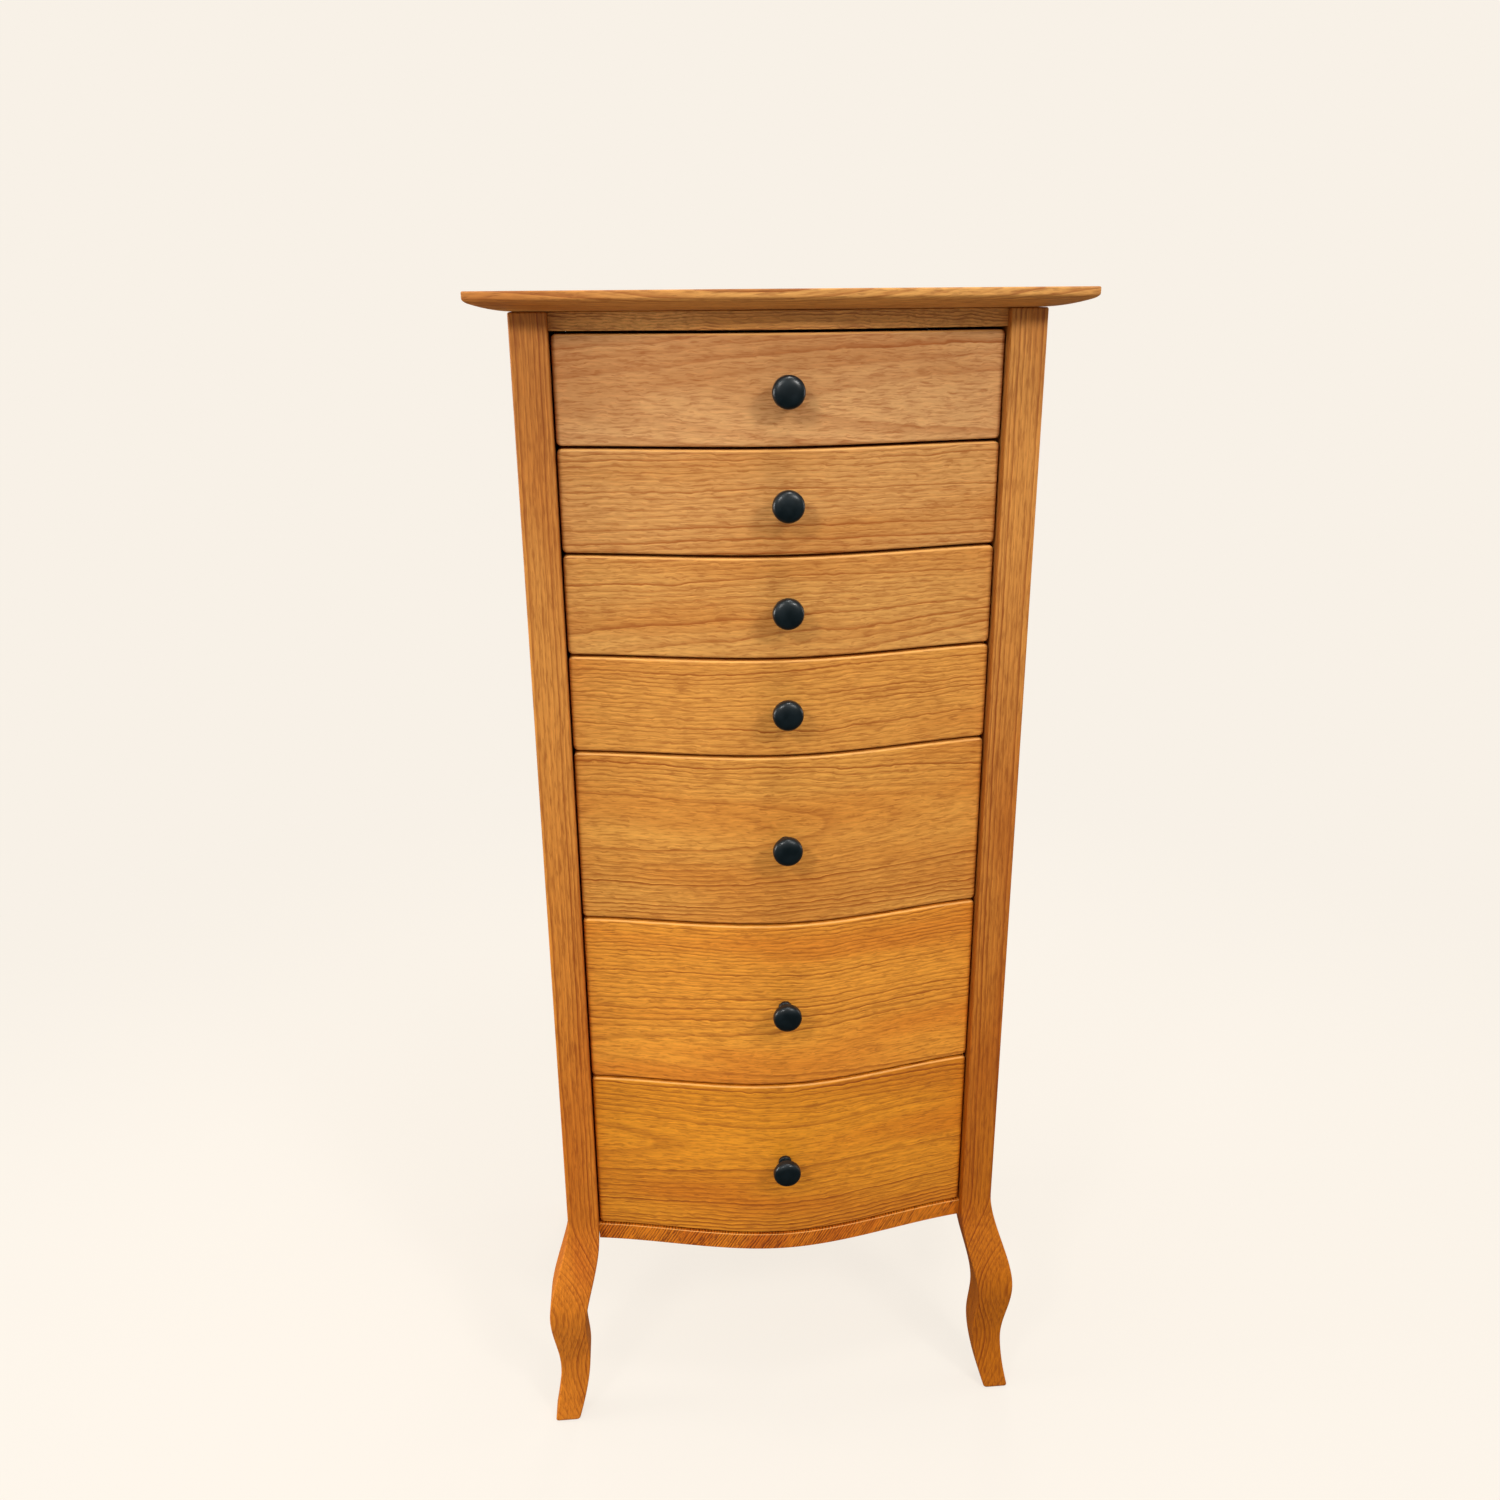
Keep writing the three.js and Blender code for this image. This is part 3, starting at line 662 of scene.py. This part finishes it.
# %% Drawer fronts
def model_front(name, low, height):
    """A drawer front with its lower edge at one height, bent to the serpentine line."""
    half = HALF_OPENING - SIDE_GAP
    piece = block(name, (-half, FRONT_END, low), (half, FRONT_END + FRONT_THICKNESS, low + height))
    edit()
    cut_across()
    ends = choose("edges", lambda e: abs(e.verts[0].co.y - e.verts[1].co.y) > 0.01
                  and abs(e.verts[0].co.x) > half - 1e-4)
    bpy.ops.mesh.bevel(offset=0.005, segments=5, affect="EDGES")
    show_edge, back_edge = (-1, 0.003, 4), (1, 0.0008, 2)
    for facing, offset, segments in (show_edge, back_edge):
        choose("edges", lambda e: len(e.link_faces) == 2
               and max(f.normal.y * facing for f in e.link_faces) > 0.99
               and min(f.normal.y * facing for f in e.link_faces) < 0.1)
        bpy.ops.mesh.bevel(offset=offset, segments=segments, affect="EDGES")
    middle = choose("verts", lambda v: abs(v.co.x) < 1e-5)
    swell_out(BOW, HALF_OPENING)
    leave()
    smooth(piece)
    print(name, "corners", ends, "middle points", middle, "faces", len(piece.data.polygons))
    return piece


fronts = []
for number, (low, height) in enumerate(zip(FRONT_LOWS, FRONT_HEIGHTS), 1):
    name = f"front_oak_{number}"
    if number in (3, 4):
        fronts.append(copy_piece(fronts[1], name, (0, 0, low - FRONT_LOWS[1])))
    else:
        fronts.append(model_front(name, low, height))
for number, (piece, material) in enumerate(zip(fronts, front_oak), 1):
    dress(piece, f"drawer_{number}", material, f"drawer_{number}_front")
print(len(fronts), "drawer fronts")

# %% [markdown]
# The posts run down into cabriole legs. Each is one length of oak, sawn to a
# curve that leaves the post, swells at the knee, draws in at the ankle and
# turns out at the toe. The post starts as a square at the floor, which is
# extruded upwards ring by ring. At each height the ring is slid and resized
# to where the outer and the inner curve put it, and then the long edges are
# rounded. A rear leg curves only to the side, as the chest stands at a wall.

# %% Leg curves
LEG = 0.29
FLARE_POWER = 1.7
SOLE_EDGE = 0.005
# The share of that rounding which is drawn, so that the lowest ring isn't upright.
SOLE_SHARE = 0.999
OUTER_CURVE = {
    "top": LEG, "knee": 0.163, "ankle": 0.08,
    "at_knee": 0.028, "at_ankle": 0.019, "at_floor": 0.03,
}
INNER_CURVE = {
    "top": 0.265, "knee": 0.145, "ankle": 0.095,
    "at_knee": 0.0215, "at_ankle": 0.01875, "at_floor": 0.037,
}


def between(z, high, low, at_high, at_low):
    """A curve that leaves one height and reaches the next upright."""
    down = (high - z) / (high - low)
    return at_high + (at_low - at_high) * down * down * (3 - 2 * down)


def reach(z, top, knee, ankle, at_knee, at_ankle, at_floor):
    """How far one side of the leg lies out from the post's own face at height z."""
    if z >= top:
        return 0
    if z >= knee:
        return between(z, top, knee, 0, at_knee)
    if z >= ankle:
        return between(z, knee, ankle, at_knee, at_ankle)
    return at_ankle + (at_floor - at_ankle) * ((ankle - z) / ankle) ** FLARE_POWER


def post_ring(z, rear):
    """The left, right, front and back of the right-hand post at height z."""
    up = min(z, SOLE_EDGE)
    inset = SOLE_EDGE - math.sqrt(SOLE_EDGE ** 2 - (SOLE_EDGE - up) ** 2)
    inset *= SOLE_SHARE
    out = reach(z, **OUTER_CURVE) - inset
    inn = reach(z, **INNER_CURVE) + inset
    left, right = HALF_OPENING + inn, HALF_CASE + out
    if rear:
        return left, right, BACK - POST + inset, BACK - inset
    return left, right, POST_FRONT - out, POST_FRONT + POST - inn


print("knee reaches", OUTER_CURVE["at_knee"], "m past the post")

# %% Posts and legs
def grow_post(name, rear):
    """The right-hand post with its leg, from the floor up."""
    sole = [SOLE_EDGE * (1 - math.cos(step * math.pi / 10)) for step in range(6)]
    leg = [SOLE_EDGE + (LEG - SOLE_EDGE) * step / 48 for step in range(1, 49)]
    heights = sole + leg + [0.32, 0.6, 1.0, 1.3, POST_HEAD]
    left, right, front, back = post_ring(0, rear)
    bpy.ops.object.select_all(action="DESELECT")
    centre = ((left + right) / 2, (front + back) / 2, 0)
    bpy.ops.mesh.primitive_plane_add(size=1, location=centre)
    piece = bpy.context.object
    piece.name = name
    piece.scale = (right - left, back - front, 1)
    bpy.ops.object.transform_apply(location=True, rotation=True, scale=True)
    edit()
    bpy.ops.mesh.select_all(action="SELECT")
    before = (left, right, front, back, 0)
    for z in heights[1:]:
        left, right, front, back = post_ring(z, rear)
        was_left, was_right, was_front, was_back, was_z = before
        sideways = (left + right - was_left - was_right) / 2
        forwards = (front + back - was_front - was_back) / 2
        slide = (sideways, forwards, z - was_z)
        bpy.ops.mesh.extrude_region_move(TRANSFORM_OT_translate={"value": slide})
        wider = (right - left) / (was_right - was_left)
        deeper = (back - front) / (was_back - was_front)
        centre = ((left + right) / 2, (front + back) / 2, z)
        bpy.ops.transform.resize(value=(wider, deeper, 1), center_override=centre)
        before = (left, right, front, back, z)
    bpy.ops.mesh.select_all(action="SELECT")
    bpy.ops.mesh.normals_make_consistent(inside=False)
    leave()
    round_edges(piece, 0.002, 3)
    print(name, len(heights), "rings,", len(piece.data.polygons), "faces")
    return piece


for place, rear in (("front", False), ("rear", True)):
    right_post = grow_post(f"post_oak_{place}_right", rear)
    left_post = copy_piece(right_post, f"post_oak_{place}_left", mirror=True)
    for side, piece in (("right", right_post), ("left", left_post)):
        smooth(piece)
        node = f"post_{place}_{side}"
        dress(piece, "case", post_oak[node], node)

# %% [markdown]
# The top board overhangs the front and both sides. Its front edge swells like
# the drawers, and under a short upright nose it is planed away to a long,
# slightly rounded bevel. The board is drawn from above as one face, bowed,
# and then extruded down ring by ring: each ring is drawn in a little at the
# sides and the front, and the back edge stays where it is.

# %% Top board
HALF_TOP = 0.308
TOP_CORNER = POST_FRONT - 0.04
TOP_BOW = 0.03
TOP_EDGE = 0.0015
NOSE_DROP = 0.0065
NOSE_ROUND = 0.0045
BEVEL_RUN = 0.0415
BEVEL_DROP = 0.008
BEVEL_BULGE = 0.0018


def top_stations():
    """Inset and drop of each ring, from the upper face down to the bevel's foot."""
    stations = []
    for step in range(5):
        turn = step * math.pi / 8
        stations.append((TOP_EDGE * (1 - math.sin(turn)), TOP_EDGE * (1 - math.cos(turn))))
    for step in range(5):
        share = step / 4
        stations.append((NOSE_ROUND * share ** 2, NOSE_DROP + NOSE_ROUND * share))
    for step in range(1, 13):
        share = step / 12
        bulge = BEVEL_BULGE * 4 * share * (1 - share)
        foot = NOSE_DROP + NOSE_ROUND + BEVEL_DROP * share + bulge
        stations.append((NOSE_ROUND + BEVEL_RUN * share, foot))
    return stations


stations = top_stations()
inset, drop = stations[0]
bpy.ops.object.select_all(action="DESELECT")
bpy.ops.mesh.primitive_plane_add(size=1, location=(0, (TOP_CORNER + inset + BACK) / 2, HEIGHT))
top = bpy.context.object
top.name = "top_oak"
top.scale = (2 * (HALF_TOP - inset), BACK - TOP_CORNER - inset, 1)
bpy.ops.object.transform_apply(location=True, rotation=True, scale=True)
edit()
choose("edges", lambda e: max(v.co.y for v in e.verts) < -0.1)
bpy.ops.mesh.subdivide(number_cuts=63)
choose("verts", lambda v: abs(v.co.x) < 1e-5 and v.co.y < 0)
swell_out(TOP_BOW, HALF_TOP - inset)
bpy.ops.mesh.select_mode(type="FACE")
bpy.ops.mesh.select_all(action="SELECT")
for next_inset, next_drop in stations[1:]:
    bpy.ops.mesh.extrude_region_move(TRANSFORM_OT_translate={"value": (0, 0, drop - next_drop)})
    share = (HALF_TOP - next_inset) / (HALF_TOP - inset)
    bpy.ops.transform.resize(value=(share, 1, 1), center_override=(0, 0, 0))
    level = HEIGHT - next_drop
    choose("verts", lambda v: abs(v.co.z - level) < 1e-6 and v.co.y < 0)
    bpy.ops.transform.translate(value=(0, next_inset - inset, 0))
    choose("faces", lambda f: max(abs(v.co.z - level) for v in f.verts) < 1e-6)
    inset, drop = next_inset, next_drop
bpy.ops.mesh.select_all(action="SELECT")
bpy.ops.mesh.normals_make_consistent(inside=False)
leave()
smooth(top, 30)
dress(top, "case", top_oak, "top_panel")
print("top board", len(stations), "rings", len(top.data.polygons), "faces")

# %% [markdown]
# The rail over the top drawer and the apron under the lowest one have the
# drawers' curve in front and a straight back between the posts. The back is
# hidden in edit mode while the front is bowed, because proportional editing
# leaves hidden points alone.

# %% Front rails
GLUE_LINE = 0.00025
TOP_RAIL = (1.3505, POST_HEAD)
APRON = (0.253, 0.275)


def model_front_rail(name, low, high):
    """A rail between two heights, serpentine in front and straight behind."""
    half = HALF_OPENING - GLUE_LINE
    piece = block(name, (-half, FRONT_END, low), (half, POST_FRONT + POST, high))
    edit()
    cut_across()
    choose("edges", lambda e: len(e.link_faces) == 2
           and max(-f.normal.y for f in e.link_faces) > 0.99
           and max(abs(f.normal.z) for f in e.link_faces) > 0.99)
    bpy.ops.mesh.bevel(offset=0.0012, segments=3, affect="EDGES")
    choose("verts", lambda v: v.co.y > POST_FRONT + POST - 1e-4)
    bpy.ops.mesh.hide(unselected=False)
    choose("verts", lambda v: abs(v.co.x) < 1e-5 and not v.hide)
    swell_out(BOW, HALF_OPENING)
    bpy.ops.mesh.reveal()
    leave()
    smooth(piece)
    return piece


top_rail = model_front_rail("rail_oak_top", *TOP_RAIL)
dress(top_rail, "case", top_rail_oak, "front_top_rail")
apron = model_front_rail("apron_oak", *APRON)
dress(apron, "case", apron_oak, "front_bottom_rail")
print("rails", len(top_rail.data.polygons), len(apron.data.polygons), "faces")

# %% [markdown]
# The knob is turned in one piece: a collar against the drawer, a neck, and a
# full head with a rounded rim and a flattened dome. A disc facing the front
# is extruded outwards and resized at each station of the turner's template.
# The pole is closed by merging the last ring. One knob is modelled, and the
# other six are copies.

# %% The turner's template
KNOB = 0.0165
NECK = 0.0055
COLLAR = 0.008
COLLAR_ROUND = 0.0015
RIM_OUT = 0.0205
HEAD_BACK = 0.007
DOME_OUT = 0.024
DOME = 0.008


def knob_stations():
    """Radius and distance from the drawer, from the foot of the collar to the crown."""
    stations = [(COLLAR - 0.0001, 0.0), (COLLAR, 0.0003)]
    for step in range(5):
        turn = step * math.pi / 8
        radius = COLLAR - COLLAR_ROUND + COLLAR_ROUND * math.cos(turn)
        stations.append((radius, 0.003 + COLLAR_ROUND * math.sin(turn)))
    stations += [(0.0058, 0.0049), (NECK, 0.0058), (0.0054, 0.010), (NECK, 0.0120)]
    for step in range(1, 9):
        turn = step * math.pi / 16
        radius = KNOB - (KNOB - NECK) * math.cos(turn)
        stations.append((radius, RIM_OUT - HEAD_BACK + HEAD_BACK * (1 - math.cos(turn)) ** 0.5))
    for step in range(17):
        turn = step * math.pi / 32
        radius = KNOB * max(math.cos(turn), 0) ** 0.7
        stations.append((radius, DOME_OUT + DOME * math.sin(turn) ** 0.7))
    return stations


print(len(knob_stations()), "stations on the knob")


# %% Knobs
def place_disc(name, radius, place, vertices):
    """A round face that looks along the y axis, to be extruded."""
    bpy.ops.object.select_all(action="DESELECT")
    bpy.ops.mesh.primitive_circle_add(
        vertices=vertices, radius=radius, fill_type="NGON",
        location=place, rotation=(math.pi / 2, 0, 0),
    )
    piece = bpy.context.object
    piece.name = name
    bpy.ops.object.transform_apply(location=True, rotation=True, scale=True)
    edit()
    bpy.ops.mesh.select_all(action="SELECT")
    return piece


def turn_knob(name, middle):
    """A knob whose collar stands on the drawer at one point."""
    x, y, z = middle
    stations = knob_stations()
    radius, out = stations[0]
    piece = place_disc(name, radius, (x, y - out, z), 64)
    for next_radius, next_out in stations[1:-1]:
        bpy.ops.mesh.extrude_region_move(TRANSFORM_OT_translate={"value": (0, out - next_out, 0)})
        grow = next_radius / radius
        bpy.ops.transform.resize(value=(grow, 1, grow), center_override=(x, y - next_out, z))
        radius, out = next_radius, next_out
    last_step = out - stations[-1][1]
    bpy.ops.mesh.extrude_region_move(TRANSFORM_OT_translate={"value": (0, last_step, 0)})
    bpy.ops.mesh.merge(type="CENTER")
    rim = y - RIM_OUT
    choose("edges", lambda e: all(abs(v.co.y - rim) < 1e-6 for v in e.verts))
    bpy.ops.mesh.bevel(offset=0.0014, segments=4, affect="EDGES")
    bpy.ops.mesh.select_all(action="SELECT")
    bpy.ops.mesh.normals_make_consistent(inside=False)
    leave()
    smooth(piece, 35)
    return piece


knob_places = [
    (0, CREST - 0.0003, low + height / 2) for low, height in zip(FRONT_LOWS, FRONT_HEIGHTS)
]
first_knob = turn_knob("knob_1", knob_places[0])
knobs = [first_knob]
for number in range(2, 8):
    lower = knob_places[number - 1][2] - knob_places[0][2]
    knobs.append(copy_piece(first_knob, f"knob_{number}", (0, 0, lower)))
for number, piece in enumerate(knobs, 1):
    dress(piece, f"drawer_{number}", knob_black, f"drawer_{number}_knob")
print(len(knobs), "knobs of", len(first_knob.data.polygons), "faces")

# %% [markdown]
# Each knob is drawn tight by a screw from inside the drawer, with a washer
# under its head, and ten more screws hold the back panel to its rails. The
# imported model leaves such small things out. A head is a disc extruded in
# rings to a low dome, like the knob, and the cross for the driver is cut into
# it with a Boolean modifier and two thin blocks.

# %% Screws
SCREW_HEAD = 0.0034


def turn_disc(name, rings):
    """A closed turned shape on the y axis, from pairs of radius and height."""
    radius, height = rings[0]
    piece = place_disc(name, radius, (0, height, 0), 32)
    for next_radius, next_height in rings[1:]:
        step = next_height - height
        bpy.ops.mesh.extrude_region_move(TRANSFORM_OT_translate={"value": (0, step, 0)})
        grow = next_radius / radius
        bpy.ops.transform.resize(value=(grow, 1, grow), center_override=(0, next_height, 0))
        radius, height = next_radius, next_height
    bpy.ops.mesh.select_all(action="SELECT")
    bpy.ops.mesh.normals_make_consistent(inside=False)
    leave()
    return piece


def cut_cross(piece, top, arm=0.0023, width=0.0008, depth=0.0013):
    """Cut the driver's cross into a screw head, one arm at a time."""
    for wide, tall in ((arm, width / 2), (width / 2, arm)):
        blade = block("driver_blade", (-wide, top - depth, -tall), (wide, top + 0.001, tall))
        cut = piece.modifiers.new("cross", "BOOLEAN")
        cut.object = blade
        bpy.context.view_layer.objects.active = piece
        bpy.ops.object.modifier_apply(modifier=cut.name)
        bpy.data.objects.remove(blade)


screw = turn_disc("screw", [
    (0.002, -0.006), (0.002, 0.0011), (0.0042, 0.0011), (0.0042, 0.0019),
    (0.0040, 0.0025), (0.0033, 0.0030), (0.0022, 0.0033), (0.0010, SCREW_HEAD),
])
cut_cross(screw, SCREW_HEAD)
washer = turn_disc("washer", [(0.0066, 0.0), (0.0068, 0.0002), (0.0068, 0.0008), (0.0066, 0.0010)])
for piece in (screw, washer):
    smooth(piece, 30)
print("screw", len(screw.data.polygons), "faces, washer", len(washer.data.polygons), "faces")

# %% Screws in their places
for number, (x, y, z) in enumerate(knob_places, 1):
    inside = (x, CREST + FRONT_THICKNESS, z)
    for piece, what in ((screw, "knob_screw"), (washer, "knob_washer")):
        made = copy_piece(piece, f"{what}_{number}", inside)
        dress(made, f"drawer_{number}", screw_zinc)
panel_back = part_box("back_panel")[1].y
for rail in ("rear_top_rail", "rear_bottom_rail"):
    low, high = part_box(rail)
    for step in range(5):
        spot = (-0.19 + 0.095 * step, panel_back - 0.001, (low.z + high.z) / 2)
        made = copy_piece(screw, f"back_screw_{rail}_{step + 1}", spot)
        dress(made, "case", screw_zinc)
for piece in (screw, washer):
    bpy.data.objects.remove(piece)
print("screws end at y =", round(panel_back + 0.0024, 4), "and the chest at", BACK)

# %% [markdown]
# The side frames, the panels and the drawer boxes are plain boards, and the
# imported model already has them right, joints and grooves included. Only their
# edges are too sharp: a joiner takes every edge off with a stroke of the
# plane. Each board is copied, its loose triangles are merged, flat faces are
# joined up, and a small bevel rounds the edges.

# %% Boards with eased edges
def eased_board(node, material, body, ease_by=0.0007):
    """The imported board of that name, with its edges taken off."""
    piece = bpy.data.objects.new(node + "_eased", nodes[node].data.copy())
    bpy.context.scene.collection.objects.link(piece)
    bpy.ops.object.select_all(action="DESELECT")
    piece.select_set(True)
    bpy.context.view_layer.objects.active = piece
    bpy.ops.mesh.customdata_custom_splitnormals_clear()
    edit()
    bpy.ops.mesh.select_all(action="SELECT")
    bpy.ops.mesh.remove_doubles(threshold=1e-6)
    bpy.ops.mesh.dissolve_limited(angle_limit=math.radians(0.5))
    leave()
    round_edges(piece, ease_by, 2, 30)
    smooth(piece)
    return dress(piece, body, material, node)


RAIL_EASE = 0.0012
PLY_EASE = 0.0004
for side in ("left", "right"):
    eased_board(f"side_top_rail_{side}", side_rail_oak, "case", RAIL_EASE)
    eased_board(f"side_bottom_rail_{side}", side_rail_oak, "case", RAIL_EASE)
    eased_board(f"side_panel_{side}", side_panel_oak, "case")
eased_board("rear_top_rail", rail_oak, "case")
eased_board("rear_bottom_rail", rail_oak, "case")
eased_board("back_panel", ply_upright, "case", PLY_EASE)
eased_board("dust_panel", ply_flat, "case", PLY_EASE)
for number in range(1, 8):
    body = f"drawer_{number}"
    eased_board(f"{body}_side_left", box_wood, body)
    eased_board(f"{body}_side_right", box_wood, body)
    eased_board(f"{body}_back", box_wood_across, body)
    eased_board(f"{body}_bottom", ply_flat, body, PLY_EASE)
print("boards eased")

# %% [markdown]
# The chest stands on a plain pale floor. The camera sees the floor and the
# world behind it in one cream tone, and part of the floor's own shading is
# kept, so the chest still casts its soft shadow. Light Path tells what kind
# of ray is looking: only the camera sees the cream. The light that the floor
# throws back up comes from a quieter tone, and gloss sees a darker floor, so
# that the lacquer and the knobs keep their depth.

# %% Floor and world
CREAM = colour(248, 241, 231)
FLOOR_RADIUS = 14


def seen_directly(tree):
    """1 for rays from the camera and for those that pass through something clear."""
    path = put(tree, "LightPath").outputs
    return calc(tree, "MAXIMUM", path["Is Camera Ray"], path["Is Transmission Ray"])


bpy.ops.object.select_all(action="DESELECT")
bpy.ops.mesh.primitive_circle_add(vertices=96, radius=FLOOR_RADIUS, fill_type="NGON")
floor = bpy.context.object
floor.name = "floor"
floor_paint, tree, shader = finish_material("floor_paint")
path = put(tree, "LightPath").outputs
paint = blend_colour(tree, path["Is Glossy Ray"], colour(150, 141, 128), colour(44, 40, 36))
paint = blend_colour(tree, path["Is Camera Ray"], paint, colour(240, 233, 222))
tree.links.new(paint, shader.inputs["Base Color"])
shader.inputs["Roughness"].default_value = 0.9
glow = put(tree, "Emission", {"Color": CREAM, "Strength": 1.0}).outputs[0]
here = put(tree, "TexCoord").outputs["Object"]
from_chest = put(tree, "VectorMath", {0: here}, operation="LENGTH").outputs["Value"]
kept = ease(tree, from_chest, 0.5, 2.2, 0.82, 1.0)
share = calc(tree, "MULTIPLY", seen_directly(tree), kept)
mixed = put(tree, "MixShader", {0: share, 1: shader.outputs[0], 2: glow}).outputs[0]
tree.links.new(mixed, tree.nodes["Material Output"].inputs["Surface"])
floor.data.materials.append(floor_paint)
floor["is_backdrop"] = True

world = bpy.data.worlds.new("studio")
bpy.context.scene.world = world
world.use_nodes = True
tree = world.node_tree
backdrop = put(tree, "Background", {"Color": CREAM, "Strength": 1.0}).outputs[0]
lighting = tree.nodes["Background"]
lighting.inputs["Color"].default_value = (1.0, 0.975, 0.94, 1)
towards = put(tree, "SeparateXYZ", {0: put(tree, "TexCoord").outputs["Generated"]}).outputs
overhead = ease(tree, towards["Z"], -0.1, 0.9, 0.37, 0.78)
window_side = ease(tree, towards["X"], -1.0, 1.0, 1.35, 0.65)
tree.links.new(calc(tree, "MULTIPLY", overhead, window_side), lighting.inputs["Strength"])
choice = {0: seen_directly(tree), 1: lighting.outputs[0], 2: backdrop}
mixed = put(tree, "MixShader", choice).outputs[0]
tree.links.new(mixed, tree.nodes["World Output"].inputs["Surface"])
print("floor and world ready")

# %% [markdown]
# Most of the light is the soft light of the room, which is brighter overhead
# and on the window side, to the left. Two lamps stand in front at the left and
# the right, above the chest, so that each knob throws two faint shadows, down
# to either side. One more lamp overhead lights the top edge of each drawer,
# where a painted highlight line is laid as well, and three low ones light the
# sides and the back.

# %% Lamps
def lamp(name, place, aim, size, watts, tint):
    """A round lamp at a place, aimed at a point."""
    data = bpy.data.lights.new(name, "AREA")
    data.shape = "DISK"
    data.size = size
    data.energy = watts
    data.color = tint
    made = bpy.data.objects.new(name, data)
    made.location = place
    made.rotation_mode = "QUATERNION"
    made.rotation_quaternion = (Vector(aim) - Vector(place)).to_track_quat("-Z", "Y")
    bpy.context.scene.collection.objects.link(made)


WARM_WHITE = (1.0, 0.98, 0.95)
DAYLIGHT = (1.0, 0.99, 0.97)
lamp("key_right", (1.35, -2.2, 2.6), (0, 0, 0.8), 0.5, 29, WARM_WHITE)
lamp("key_left", (-1.35, -2.2, 2.6), (0, 0, 0.8), 0.5, 25, DAYLIGHT)
lamp("overhead", (0.3, -0.9, 3.4), (0, -0.1, 0.8), 0.6, 22, WARM_WHITE)
lamp("side_left", (-3.0, 0.0, 1.2), (0, 0, 0.7), 1.2, 45, WARM_WHITE)
lamp("side_right", (3.0, 0.3, 1.2), (0, 0, 0.7), 1.2, 20, WARM_WHITE)
lamp("rear", (0.6, 2.9, 1.1), (0, 0.2, 0.7), 1.2, 28, WARM_WHITE)
view = bpy.context.scene.view_settings
view.view_transform = "Standard"
print(len(bpy.data.lights), "lamps")

# %% [markdown]
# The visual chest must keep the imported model's size.

# %% Sizes and finish
low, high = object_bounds()
